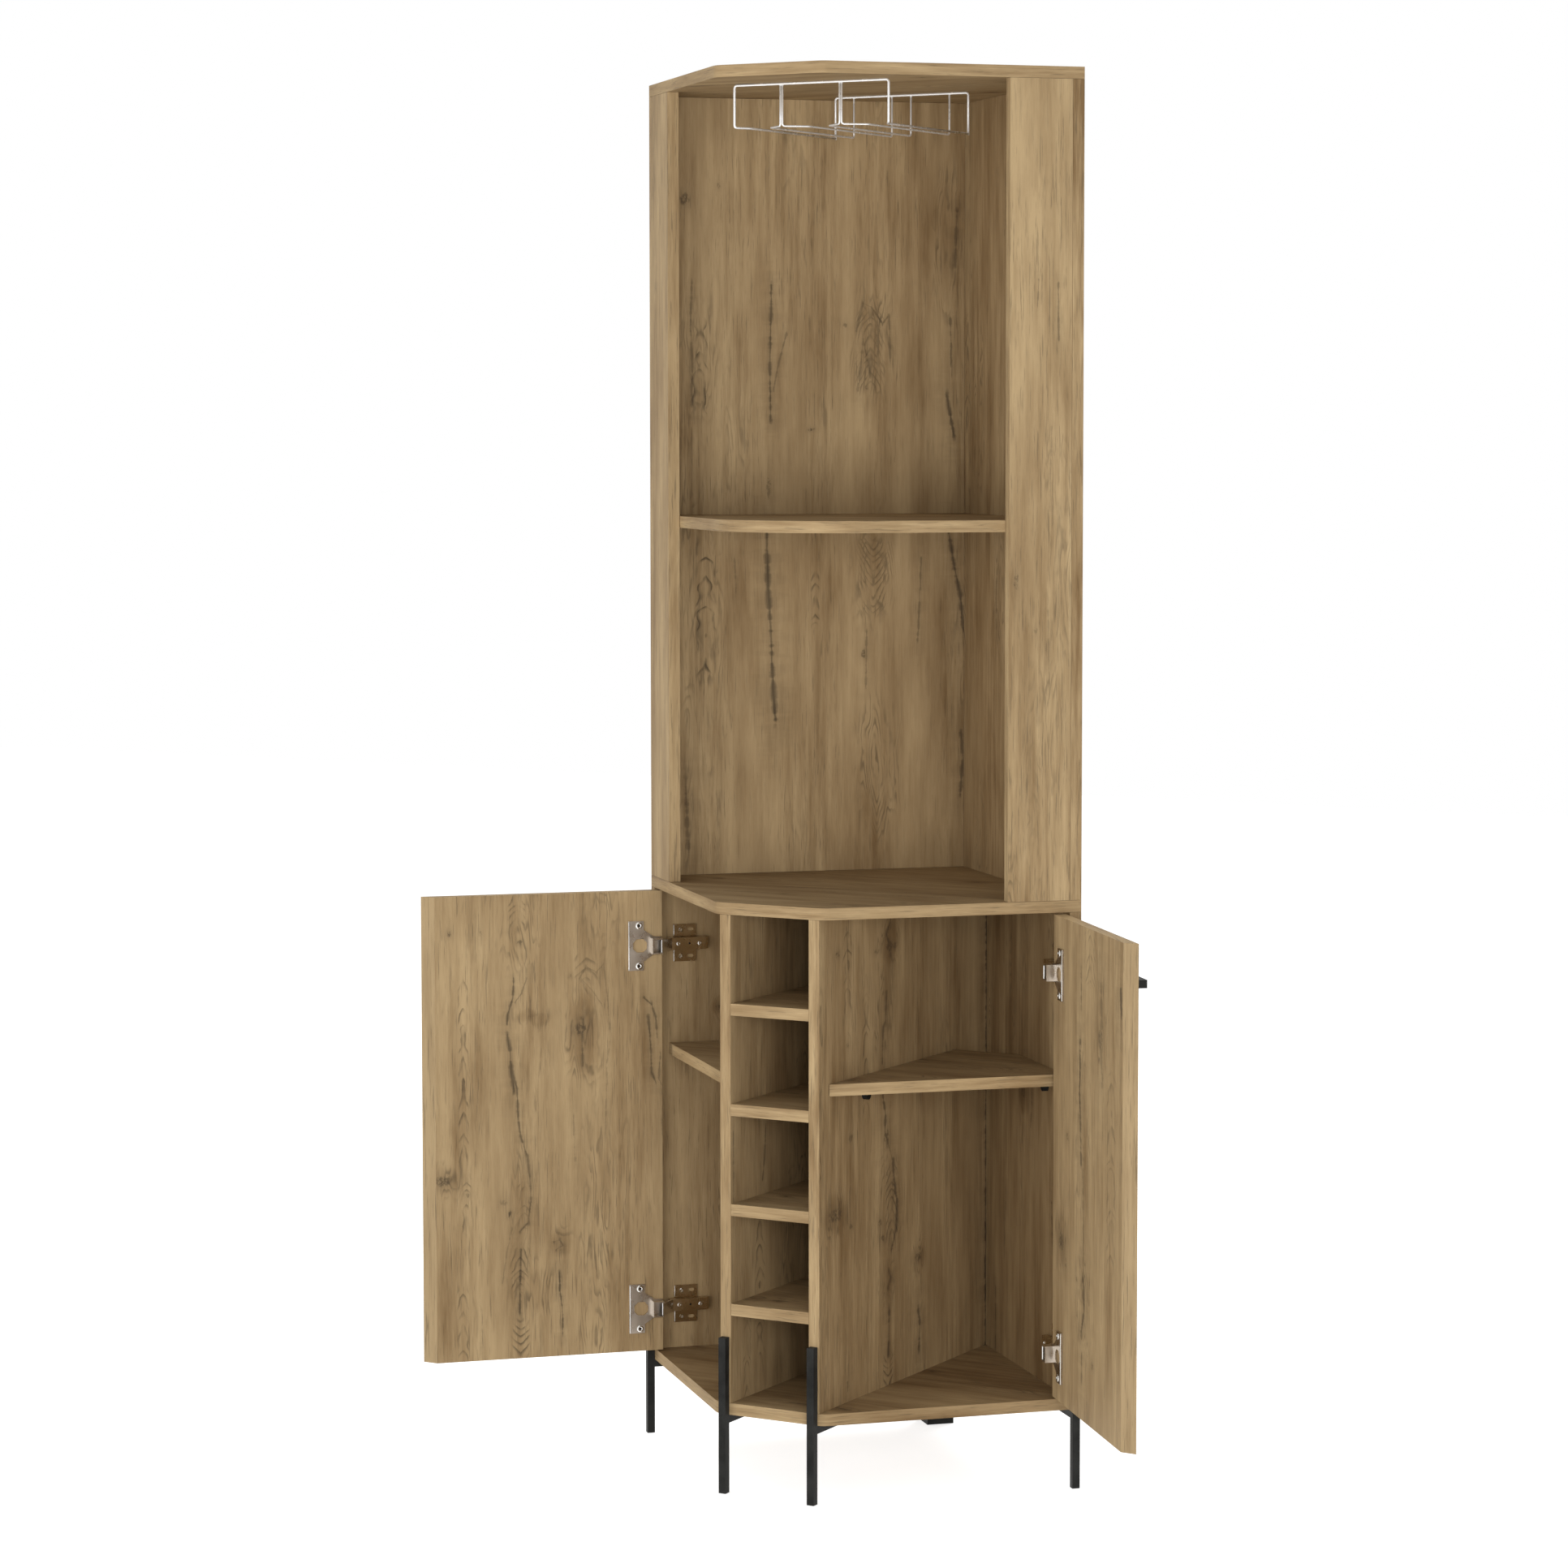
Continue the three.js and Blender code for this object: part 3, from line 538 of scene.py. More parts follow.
def figure_group():
    """Oak fibres, streaks, ring lines and pores from a board place in metres."""
    tree, bench, given, result = new_group(
        "oak figure", "Place, Seed, Light Tone, Dark Tone, Crack Tone, Figure, Roughness, Edge, Rim, "
        "Rings, Near, Shade, Line, Dark, Lift", "Colour, Roughness, Height")
    offset = bench.join(bench.times(given["Seed"], 0.731), None, bench.times(given["Seed"], 1.917))
    place = bench.vector("ADD", given["Place"], offset)
    broad = bench.noise(place, 1.0, 2.0, 0.5, BROAD)
    cloud = bench.noise(place, 1.0, 4.0, 0.58, CLOUD)
    streak = bench.noise(place, 1.0, 4.0, 0.66, STREAK)
    fibre = bench.noise(place, 1.0, 3.0, 0.65, FIBRE)
    grit = bench.noise(place, 1.0, 2.0, 0.6, GRIT)
    flame = bench.noise(place, 1.0, 2.0, 0.45, FLAME)
    wobble = bench.noise(place, 1.0, 2.0, 0.6, WOBBLE)
    patch = bench.noise(place, 1.0, 2.0, 0.5, PATCH)
    faint = bench.noise(place, 1.0, 2.0, 0.6, FAINT)
    # Ring lines: a saw of the rings, shown in patches and near the swirls
    rings = bench.times_plus(flame, 15.0, given["Rings"])
    saw = bench.math("FRACT", bench.times_plus(wobble, 0.9, rings))
    late = bench.times(bench.between(saw, 0.35, 0.82), bench.between(saw, 0.84, 1.0, 1.0, 0.0))
    shown = bench.higher(bench.between(patch, 0.54, 0.66, 0.0, 0.8), given["Near"])
    shown = bench.times(shown, bench.between(cloud, 0.36, 0.56, 0.35, 1.0))
    line = bench.higher(bench.times(bench.times(late, shown), given["Figure"]), given["Line"])
    line = bench.times(line, bench.between(faint, 0.34, 0.62, 0.12, 1.25))
    line = bench.times(line, bench.minus(1.0, given["Edge"]))
    # Short dark fibres and pores
    crisp = bench.between(patch, 0.34, 0.56)
    firm = bench.higher(bench.between(crisp, 0.0, 1.0, 0.20, 0.44), bench.times(given["Edge"], 0.40))
    dash = bench.times(bench.between(fibre, 0.54, 0.67), firm)
    pore = bench.between(grit, 0.60, 0.74)
    # The tone of the wood, from its broadest bands to its fibres
    lively = bench.times_plus(given["Edge"], 0.7, bench.between(patch, 0.38, 0.62, 0.75, 1.55))
    level = bench.swing(broad, 1.20, 0.63)
    level = bench.swing(streak, lively, level)
    level = bench.swing(cloud, 1.35, level)
    level = bench.swing(fibre, 0.40, level)
    level = bench.times_plus(given["Shade"], -0.55, level)
    # Painted light and shade: the lift raises or lowers the tone of a whole board's faces or cut edges.
    level = bench.plus(given["Lift"], level, clamp=True)
    tone = bench.mix(level, given["Dark Tone"], given["Light Tone"])
    lined = bench.times_plus(pore, 0.06, bench.higher(line, dash))
    lined = bench.times_plus(given["Rim"], 0.20, lined, clamp=True)
    tone = bench.mix(lined, tone, given["Crack Tone"])
    dark = bench.times(bench.times(given["Dark"], 0.94, clamp=True),
                       bench.between(fibre, 0.30, 0.62, 1.0, 0.78))
    bench.feed(result["Colour"], bench.mix(dark, tone, given["Crack Tone"]))
    rough = bench.times_plus(pore, 0.10, bench.swing(streak, 0.16, given["Roughness"]))
    bench.feed(result["Roughness"], bench.times_plus(given["Dark"], 0.15, rough, clamp=True))
    height = bench.times_plus(streak, 0.35, bench.times(fibre, 0.30))
    bench.feed(result["Height"], bench.times_plus(pore, -0.30, height))
    return tree


def shared_group(name, maker, *parts):
    """The node group of that name, made once."""
    return bpy.data.node_groups.get(name) or maker(*parts)


def clean_bench(owner):
    """A bench on the empty node tree of a material or world."""
    owner.use_nodes = True
    owner.node_tree.nodes.clear()
    return NodeBench(owner.node_tree)


def plain_material(name):
    """A new material whose tree holds only a Principled shader and an output."""
    material = bpy.data.materials.new(name)
    bench = clean_bench(material)
    output = bench.add("ShaderNodeOutputMaterial")
    shader = bench.add("ShaderNodeBsdfPrincipled")
    bench.feed(output.inputs[0], shader.outputs[0])
    return material, bench, shader


# How a board lies: the way out of its face, and the way its grain runs.

def upright(degrees):
    """A board that stands upright with its face towards an angle in plan."""
    angle = math.radians(degrees)
    return Vector((math.cos(angle), math.sin(angle), 0.0)), UP


LEVEL = (UP, Vector((1.0, 0.0, 0.0)))


def board_axes(lie):
    """The turn from the cabinet's axes to width, thickness and grain of a board."""
    face, grain = lie
    return Matrix((face.cross(grain), face, grain))


def wandering(bench, place, noise, aside, along):
    """A place moved across and along the grain by a noise."""
    lean = bench.minus(noise, 0.5)
    shift = bench.join(bench.times(lean, aside), None, bench.times(lean, along))
    return bench.vector("ADD", place, shift)


def lay_marks(bench, tree, marks, fields, sums, **places):
    """Lays marks of one kind on top of those before them, whose sums it is given and returns."""
    for mark in marks:
        before = {f"{name}_Sum": value for name, value in sums.items()}
        found = bench.group(tree, **places, **dict(zip(fields, mark)), **before)
        sums = {name: found[name] for name in sums}
    return sums


def stretches(cracks):
    """The straight stretches of all cracks."""
    return [(*start, *end, half_width, depth)
            for path, half_width, depth in cracks for start, end in zip(path, path[1:])]


def oak_material(name, lie, seed, settings, marks, lift):
    """Oak for one board with its swirls, blotches, cracks and feathers."""
    material, bench, shader = plain_material(f"oak {name}")
    where = bench.add("ShaderNodeTexCoord")
    turned = []
    for source in ("Object", "Normal"):
        mapping = bench.add("ShaderNodeMapping")
        mapping.inputs["Rotation"].default_value = board_axes(lie).to_euler("XYZ")
        bench.feed(mapping.inputs["Vector"], where.outputs[source])
        turned.append(mapping.outputs[0])
    if lie is LEVEL:
        placing = shared_group("panel place", place_group, "panel place", panel_edge_place)
    else:
        placing = shared_group("board place", place_group, "board place", board_edge_place)
    placed = bench.group(placing, Place=turned[0], Normal=turned[1])
    place = placed["Place"]
    bent = wandering(bench, place, bench.noise(place, 1.0, 2.0, 0.6, BEND), 0.016, 0.030)
    swirls = lay_marks(
        bench, shared_group("oak swirl", swirl_group), marks.get("swirls", ()),
        ("Across", "Height", "Half_Width", "Half_Length", "Rings", "Shade"),
        {"Rings": 0.0, "Near": 0.0, "Shade": 0.0}, Place=bent)
    loose = wandering(bench, place, bench.noise(place, 1.0, 3.0, 0.6, STRAY), 0.008, -0.008)
    dark = lay_marks(
        bench, shared_group("oak blotch", blotch_group), marks.get("blotches", ()),
        ("Across", "Height", "Half_Width", "Half_Length", "Depth"),
        {"Dark": 0.0}, Place=loose, Speck=bench.noise(place, 1.0, 3.0, 0.65, SPECK))
    ragged = wandering(bench, place, bench.noise(place, 1.0, 3.0, 0.65, TORN), 0.0028, 0.0)
    swell = bench.between(bench.noise(place, 1.0, 2.0, 0.6, SWELL), 0.34, 0.66, 0.50, 1.80)
    dark = lay_marks(
        bench, shared_group("oak crack", crack_group), stretches(marks.get("cracks", ())),
        ("From_Across", "From_Height", "To_Across", "To_Height", "Half_Width", "Depth"),
        dark, Place=ragged, Swell=swell)
    line = lay_marks(
        bench, shared_group("oak feather", feather_group), marks.get("feathers", ()),
        ("Across", "Height", "Half_Width", "Half_Length", "Spacing", "Reach", "Strength"),
        {"Line": 0.0}, Place=ragged, Jitter=bench.noise(place, 1.0, 1.0, 0.5, DRIFT))
    # The lift is painted light and shade on this board's faces and cut edges.
    finish = bench.group(
        shared_group("oak figure", figure_group), Place=place, Seed=seed,
        Light_Tone=(*settings.light_tone, 1.0), Dark_Tone=(*settings.dark_tone, 1.0),
        Crack_Tone=(*settings.crack_tone, 1.0), Figure=settings.figure,
        Roughness=settings.roughness, Edge=placed["Edge"], Rim=placed["Rim"],
        Lift=bench.between(placed["Edge"], 0.0, 1.0, *lift), **swirls, **dark, **line)
    bench.bump(shader, finish["Height"], 0.40, 0.0004)
    bench.feed(shader.inputs["Base Color"], finish["Colour"])
    bench.feed(shader.inputs["Roughness"], finish["Roughness"])
    shader.inputs["Specular IOR Level"].default_value = 0.16
    return material


def coated_material(name, tone, roughness, grain):
    """A matt coat or moulding with a fine pebbled surface and a mottled tone."""
    material, bench, shader = plain_material(name)
    where = bench.add("ShaderNodeTexCoord")
    fine = bench.noise(where.outputs["Object"], grain, 3.0, 0.6)
    wide = bench.noise(where.outputs["Object"], 38.0, 3.0, 0.55)
    lift = bench.plus(bench.times(fine, 0.35), bench.times(wide, 0.65))
    pale = tuple(min(1.0, part * 1.75 + 0.004) for part in tone)
    deep = tuple(part * 0.62 for part in tone)
    shade = bench.mix(bench.between(lift, 0.3, 0.7), (*deep, 1.0), (*pale, 1.0))
    bench.feed(shader.inputs["Base Color"], shade)
    bench.feed(shader.inputs["Roughness"],
               bench.between(lift, 0.3, 0.7, roughness - 0.08, roughness + 0.10))
    bench.bump(shader, fine, 0.25, 0.00012)
    shader.inputs["Specular IOR Level"].default_value = 0.12
    return material


def plated_material(name, tone, roughness, metal=1.0):
    """Plated steel with soft dull patches, fine brush marks and tiny pits."""
    material, bench, shader = plain_material(name)
    where = bench.add("ShaderNodeTexCoord")
    marks = bench.noise(where.outputs["Object"], 1.0, 3.0, 0.6, (1400.0, 1400.0, 90.0))
    patches = bench.noise(where.outputs["Object"], 45.0, 2.0, 0.5)
    pits = bench.noise(where.outputs["Object"], 2200.0, 1.0, 0.5)
    lift = bench.plus(bench.times(marks, 0.12), bench.times(patches, 0.88))
    deep = tuple(part * 0.94 for part in tone)
    pale = tuple(min(1.0, part * 1.05) for part in tone)
    shade = bench.mix(bench.between(lift, 0.35, 0.65), (*deep, 1.0), (*pale, 1.0))
    spots = bench.between(pits, 0.70, 0.80, 0.0, 0.12)
    dull = tuple(part * 0.5 for part in tone)
    bench.feed(shader.inputs["Base Color"], bench.mix(spots, shade, (*dull, 1.0)))
    bench.feed(shader.inputs["Roughness"],
               bench.between(lift, 0.3, 0.7, roughness - 0.03, roughness + 0.04))
    bench.bump(shader, marks, 0.02, 0.00001)
    shader.inputs["Metallic"].default_value = metal
    return material


# Meshes

def mesh_object(name, bm, material, matrix=None):
    """Closes up a mesh and adds it to the scene with its material."""
    bmesh.ops.recalc_face_normals(bm, faces=bm.faces)
    mesh = bpy.data.meshes.new(name)
    bm.to_mesh(mesh)
    bm.free()
    mesh.materials.append(material)
    thing = bpy.data.objects.new(name, mesh)
    bpy.context.scene.collection.objects.link(thing)
    if matrix is not None:
        mesh.transform(matrix)
    return thing


def add_fitting(name, bm, material, body, matrix=None):
    """A piece with its own material that moves with a body."""
    fitting = mesh_object(name, bm, material, matrix)
    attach(fitting, body)
    return fitting


def smooth_group():
    """Shades the shallow turns of a rounded corner as one curve and keeps real edges crisp."""
    tree = bpy.data.node_groups.new("smooth corners", "GeometryNodeTree")
    for way in ("INPUT", "OUTPUT"):
        tree.interface.new_socket(name="Geometry", in_out=way, socket_type="NodeSocketGeometry")
    given = tree.nodes.new("NodeGroupInput")
    result = tree.nodes.new("NodeGroupOutput")
    faces = tree.nodes.new("GeometryNodeSetShadeSmooth")
    edges = tree.nodes.new("GeometryNodeSetShadeSmooth")
    edges.domain = "EDGE"
    edges.inputs["Shade Smooth"].default_value = False
    angle = tree.nodes.new("GeometryNodeInputMeshEdgeAngle")
    sharp = tree.nodes.new("FunctionNodeCompare")
    sharp.operation = "GREATER_THAN"
    sharp.inputs[1].default_value = math.radians(SMOOTH_ANGLE)
    tree.links.new(angle.outputs["Unsigned Angle"], sharp.inputs[0])
    tree.links.new(given.outputs[0], faces.inputs["Geometry"])
    tree.links.new(faces.outputs[0], edges.inputs["Geometry"])
    tree.links.new(sharp.outputs[0], edges.inputs["Selection"])
    tree.links.new(edges.outputs[0], result.inputs[0])
    return tree


def dress(name, material, width, segments=2, rim=None):
    """Gives a node its material and rounded edges, which may have a material of their own: a bright one
    paints glints and a dark one paints shade along them.
    """
    node = NODES[name]
    node.data.materials.clear()
    node.data.materials.append(material)
    bevel = node.modifiers.new("rounded edges", "BEVEL")
    bevel.width = width
    bevel.segments = segments
    bevel.limit_method = "ANGLE"
    bevel.angle_limit = math.radians(SHARP_ANGLE)
    bevel.use_clamp_overlap = True
    if rim:
        node.data.materials.append(rim)
        bevel.material = 1
    smooth = node.modifiers.new("smooth corners", "NODES")
    smooth.node_group = shared_group("smooth corners", smooth_group)


def turned_ring(bm, radius, height, steps):
    """A ring of corners round Z."""
    ring = []
    for i in range(steps):
        angle = 2 * math.pi * i / steps
        ring.append(bm.verts.new((radius * math.cos(angle), radius * math.sin(angle), height)))
    return ring


def skin(bm, rings):
    """Faces between each closed ring of corners and the next."""
    for low, high in zip(rings, rings[1:]):
        for i in range(len(low)):
            j = (i + 1) % len(low)
            bm.faces.new((low[i], low[j], high[j], high[i]))


def cap_and_smooth(bm, rings):
    """Closes both ends of a skin with flat faces and shades its sides smooth."""
    bm.faces.new(rings[0])
    bm.faces.new(rings[-1])
    for face in bm.faces:
        face.smooth = len(face.verts) == 4


def lathe(profile, steps):
    """A turned mesh round Z from (radius, height) points, which starts and ends on the axis."""
    bm = bmesh.new()
    rings = []
    for radius, height in profile:
        if radius == 0.0:
            rings.append([bm.verts.new((0.0, 0.0, height))])
        else:
            rings.append(turned_ring(bm, radius, height, steps))
    for low, high in zip(rings, rings[1:]):
        for i in range(steps):
            j = (i + 1) % steps
            corners = [low[i % len(low)], low[j % len(low)], high[j % len(high)], high[i % len(high)]]
            bm.faces.new(list(dict.fromkeys(corners)))
    for face in bm.faces:
        face.smooth = True
    return bm


def cross_screw(radius, height, depth):
    """A low screw head with a cross recess."""
    bm = bmesh.new()
    levels = ((radius, 0.0), (radius, height * 0.35), (radius * 0.78, height))
    rings = [turned_ring(bm, size, level, SCREW_STEPS) for size, level in levels]
    skin(bm, rings)
    bm.faces.new(list(reversed(rings[0])))
    wide, slim = radius * 0.56, radius * 0.16
    plus = [(wide, -slim), (wide, slim), (slim, slim), (slim, wide), (-slim, wide), (-slim, slim),
            (-wide, slim), (-wide, -slim), (-slim, -slim), (-slim, -wide), (slim, -wide), (slim, -slim)]
    top = [bm.verts.new((x, y, height)) for x, y in plus]
    floor = [bm.verts.new((x * 0.7, y * 0.7, height - depth)) for x, y in plus]
    edges = []
    for loop in (rings[-1], top):
        for i, vertex in enumerate(loop):
            other = loop[(i + 1) % len(loop)]
            edges.append(bm.edges.get((vertex, other)) or bm.edges.new((vertex, other)))
    bmesh.ops.triangle_fill(bm, use_beauty=True, edges=edges)
    for i in range(len(plus)):
        j = (i + 1) % len(plus)
        bm.faces.new((top[i], floor[i], floor[j], top[j]))
    bm.faces.new(floor)
    return bm


def door_screw(radius):
    """A bright dished screw head with a deep round drive hole."""
    return lathe([
        (0.0, 0.00015), (radius * 0.36, 0.00015), (radius * 0.36, 0.0007), (radius * 0.44, 0.00105),
        (radius * 0.62, 0.0012), (radius * 0.82, 0.00105), (radius * 0.97, 0.0006), (radius, 0.0001),
        (radius, -0.0003), (0.0, -0.0003)], DOOR_SCREW_STEPS)


def drive_hole(radius):
    """A dark disc in a drive hole, which paints the shadow at its bottom."""
    return lathe([(0.0, 0.0002), (radius * 0.35, 0.0002), (radius * 0.35, 0.0), (0.0, 0.0)], HOLE_STEPS)


def rolled_rim(long, width, height):
    """A low half-round bar along X with rounded-off ends."""
    bm = bmesh.new()
    rings = []
    for reach, size in ((-0.5, 0.35), (-0.49, 0.8), (-0.47, 1.0), (0.47, 1.0), (0.49, 0.8), (0.5, 0.35)):
        ring = []
        for i in range(RIM_STEPS + 1):
            angle = math.pi * i / RIM_STEPS
            ring.append(bm.verts.new((long * reach, width / 2 * size * math.cos(angle),
                                      height * size * math.sin(angle))))
        rings.append(ring)
    skin(bm, rings)
    cap_and_smooth(bm, rings)
    return bm


def bent_path(corners):
    """The corners of a wire with round bends between them."""
    path = [corners[0]]
    for before, corner, after in zip(corners, corners[1:], corners[2:]):
        start = corner + (before - corner).normalized() * WIRE_BEND
        end = corner + (after - corner).normalized() * WIRE_BEND
        for i in range(BEND_STEPS + 1):
            t = i / BEND_STEPS
            path.append(start * (1 - t) ** 2 + corner * 2 * t * (1 - t) + end * t ** 2)
    path.append(corners[-1])
    return path


def wire_mesh(corners, radius):
    """A round wire that is bent through its corners."""
    path = bent_path(corners)
    bm = bmesh.new()
    last = (path[1] - path[0]).normalized()
    helper = UP if abs(last.z) < 0.9 else Vector((1.0, 0.0, 0.0))
    side = last.cross(helper).normalized()
    rings = []
    for i, point in enumerate(path):
        before = path[max(i - 1, 0)]
        after = path[min(i + 1, len(path) - 1)]
        way = (after - before).normalized()
        side = last.rotation_difference(way) @ side
        side = (side - way * side.dot(way)).normalized()
        other = way.cross(side)
        last = way
        ring = []
        for k in range(WIRE_SIDES):
            angle = 2 * math.pi * k / WIRE_SIDES
            ring.append(bm.verts.new(point + (side * math.cos(angle) + other * math.sin(angle)) * radius))
        rings.append(ring)
    skin(bm, rings)
    cap_and_smooth(bm, rings)
    return bm


def weld_bead(point, radius, stretch, seed):
    """A small uneven weld where two wires cross."""
    bm = bmesh.new()
    bmesh.ops.create_icosphere(bm, subdivisions=3, radius=radius)
    rng = random.Random(seed)
    bumps = [Vector((rng.uniform(-1, 1), rng.uniform(-1, 1), rng.uniform(-1, 1))).normalized()
             for _ in range(5)]
    for vertex in bm.verts:
        way = vertex.co.normalized()
        swell = 1.0 + sum(0.07 * max(0.0, way.dot(bump)) ** 4 for bump in bumps)
        vertex.co = Vector((a * b for a, b in zip(vertex.co * swell, stretch))) + point
    for face in bm.faces:
        face.smooth = True
    return bm


# Marks on each board, in metres, measured across and up the board:
# swirls are (across, height, half width, half length, rings, shade),
# blotches are (across, height, half width, half length, depth),
# cracks are (path of places, half width, depth),
# feathers are (across, height, half width, half length, spacing, reach, strength).

LEFT_DOOR = {
    "swirls": [
        (0.490, 0.548, 0.024, 0.062, 4.5, 0.75), (0.676, 0.358, 0.020, 0.020, 2.0, 0.35),
        (0.578, 0.672, 0.020, 0.034, 2.0, 0.20), (0.473, 0.320, 0.022, 0.110, 3.0, 0.0),
        (0.474, 0.170, 0.020, 0.080, 3.0, 0.0), (0.466, 0.705, 0.024, 0.050, 4.0, 0.0),
        (0.578, 0.330, 0.016, 0.060, 2.5, 0.15), (0.560, 0.205, 0.034, 0.030, 1.0, 0.30),
        (0.560, 0.573, 0.026, 0.010, 0.5, 0.40), (0.524, 0.270, 0.016, 0.020, 1.5, 0.45),
    ],
    "blotches": [
        (0.494, 0.555, 0.012, 0.011, 0.85), (0.492, 0.570, 0.007, 0.004, 0.55),
        (0.681, 0.360, 0.015, 0.010, 0.80), (0.648, 0.340, 0.004, 0.004, 0.70),
        (0.592, 0.312, 0.003, 0.005, 0.85), (0.600, 0.328, 0.008, 0.006, 0.45),
        (0.671, 0.687, 0.004, 0.005, 0.80), (0.629, 0.686, 0.002, 0.009, 0.45),
        (0.508, 0.626, 0.003, 0.003, 0.75), (0.577, 0.672, 0.005, 0.004, 0.75),
        (0.556, 0.575, 0.018, 0.0025, 0.25), (0.524, 0.260, 0.003, 0.002, 0.40),
    ],
    "cracks": [
        ([(0.585, 0.625), (0.586, 0.601), (0.593, 0.578), (0.594, 0.566)], 0.0014, 0.95),
        ([(0.594, 0.550), (0.590, 0.530), (0.589, 0.505), (0.585, 0.476)], 0.0022, 0.90),
        ([(0.587, 0.500), (0.581, 0.478), (0.580, 0.448), (0.577, 0.416), (0.568, 0.389)], 0.0015, 0.85),
        ([(0.568, 0.389), (0.564, 0.356), (0.563, 0.327), (0.567, 0.299), (0.578, 0.288)], 0.0016, 0.75),
        ([(0.568, 0.624), (0.574, 0.606), (0.583, 0.594)], 0.0009, 0.60),
        ([(0.577, 0.262), (0.578, 0.226), (0.579, 0.180)], 0.0012, 0.90),
        ([(0.525, 0.229), (0.524, 0.202), (0.521, 0.183), (0.521, 0.147)], 0.0013, 0.90),
        ([(0.532, 0.272), (0.524, 0.273), (0.520, 0.266), (0.529, 0.261)], 0.0010, 0.75),
        ([(0.493, 0.548), (0.492, 0.506)], 0.0011, 0.75),
        ([(0.472, 0.631), (0.463, 0.640), (0.458, 0.596), (0.454, 0.541), (0.459, 0.509)], 0.0008, 0.42),
        ([(0.496, 0.622), (0.487, 0.638), (0.473, 0.630)], 0.0010, 0.42),
        ([(0.492, 0.620), (0.478, 0.605), (0.465, 0.585)], 0.0010, 0.40),
        ([(0.408, 0.593), (0.398, 0.584), (0.392, 0.566), (0.390, 0.539)], 0.0013, 0.85),
        ([(0.402, 0.567), (0.399, 0.528), (0.398, 0.493), (0.392, 0.478)], 0.0015, 0.85),
        ([(0.386, 0.517), (0.388, 0.484), (0.383, 0.473), (0.383, 0.410)], 0.0012, 0.60),
        ([(0.505, 0.440), (0.503, 0.380)], 0.0012, 0.40), ([(0.459, 0.500), (0.461, 0.420)], 0.0010, 0.40),
        ([(0.589, 0.292), (0.596, 0.260), (0.602, 0.220)], 0.0008, 0.42),
        ([(0.556, 0.450), (0.548, 0.530)], 0.0008, 0.28), ([(0.629, 0.110), (0.631, 0.190)], 0.0008, 0.28),
    ],
    "feathers": [
        (0.653, 0.500, 0.007, 0.150, 0.030, 0.022, 0.55), (0.650, 0.330, 0.007, 0.045, 0.028, 0.020, 0.45),
        (0.655, 0.170, 0.008, 0.060, 0.026, 0.022, 0.45), (0.578, 0.236, 0.014, 0.034, 0.011, 0.020, 0.50),
        (0.578, 0.141, 0.012, 0.034, 0.011, -0.012, 0.55), (0.580, 0.715, 0.012, 0.034, 0.014, 0.016, 0.50),
        (0.572, 0.322, 0.010, 0.036, 0.013, 0.014, 0.35), (0.487, 0.636, 0.016, 0.022, 0.014, 0.014, 0.35),
    ],
}
UPPER_LEFT = {
    "swirls": [
        (0.088, 1.470, 0.026, 0.070, 4.0, 0.15), (0.084, 1.160, 0.026, 0.070, 4.5, 0.20),
        (0.077, 0.890, 0.026, 0.090, 5.0, 0.10), (0.314, 1.080, 0.020, 0.110, 3.0, 0.0),
        (0.322, 1.450, 0.018, 0.070, 3.0, 0.10), (-0.020, 1.600, 0.020, 0.090, 3.0, 0.10),
    ],
    "blotches": [
        (0.345, 1.651, 0.008, 0.010, 0.85), (0.298, 1.670, 0.004, 0.005, 0.60),
        (0.097, 1.046, 0.004, 0.008, 0.80), (0.123, 1.487, 0.003, 0.006, 0.65),
        (0.170, 1.348, 0.005, 0.003, 0.80), (0.093, 1.403, 0.003, 0.004, 0.50),
        (0.230, 1.270, 0.004, 0.020, 0.55),
    ],
    "cracks": [
        ([(0.226, 1.539), (0.226, 1.510), (0.228, 1.435), (0.227, 1.360)], 0.0020, 0.94),
        ([(0.205, 1.475), (0.216, 1.435), (0.223, 1.400)], 0.0014, 0.62),
        ([(0.233, 1.225), (0.232, 1.180), (0.231, 1.142), (0.227, 1.077), (0.225, 1.023), (0.221, 0.960)],
         0.0031, 0.95),
        ([(-0.022, 1.215), (-0.031, 1.162), (-0.040, 1.123), (-0.044, 1.075)], 0.0024, 0.95),
        ([(-0.041, 0.936), (-0.044, 0.902), (-0.040, 0.853)], 0.0022, 0.81),
        ([(-0.020, 1.392), (-0.030, 1.340)], 0.0022, 0.95),
        ([(-0.025, 1.496), (-0.026, 1.436)], 0.0014, 0.75),
        ([(0.098, 1.516), (0.086, 1.511), (0.071, 1.489), (0.062, 1.500), (0.060, 1.440)], 0.0012, 0.62),
        ([(0.108, 1.480), (0.098, 1.516)], 0.0012, 0.56), ([(-0.034, 1.640), (-0.031, 1.570)], 0.0019, 0.75),
        ([(0.105, 1.400), (0.098, 1.468), (0.088, 1.420)], 0.0014, 0.56),
        ([(0.335, 1.546), (0.337, 1.488), (0.335, 1.434), (0.336, 1.380)], 0.0014, 0.60),
        ([(0.016, 1.173), (0.018, 1.118), (0.021, 1.063)], 0.0013, 0.65),
        ([(0.277, 1.175), (0.275, 1.132)], 0.0011, 0.50),
        ([(0.093, 1.075), (0.094, 1.000)], 0.0012, 0.56), ([(0.345, 0.880), (0.342, 0.790)], 0.0024, 0.69),
    ],
    "feathers": [
        (0.317, 1.110, 0.014, 0.110, 0.052, 0.045, 0.65), (0.325, 1.430, 0.012, 0.070, 0.040, 0.034, 0.60),
        (0.084, 1.150, 0.022, 0.060, 0.012, -0.040, 0.42), (0.165, 1.120, 0.006, 0.040, 0.018, 0.010, 0.50),
        (0.088, 1.450, 0.022, 0.064, 0.014, 0.044, 0.40),
    ],
}
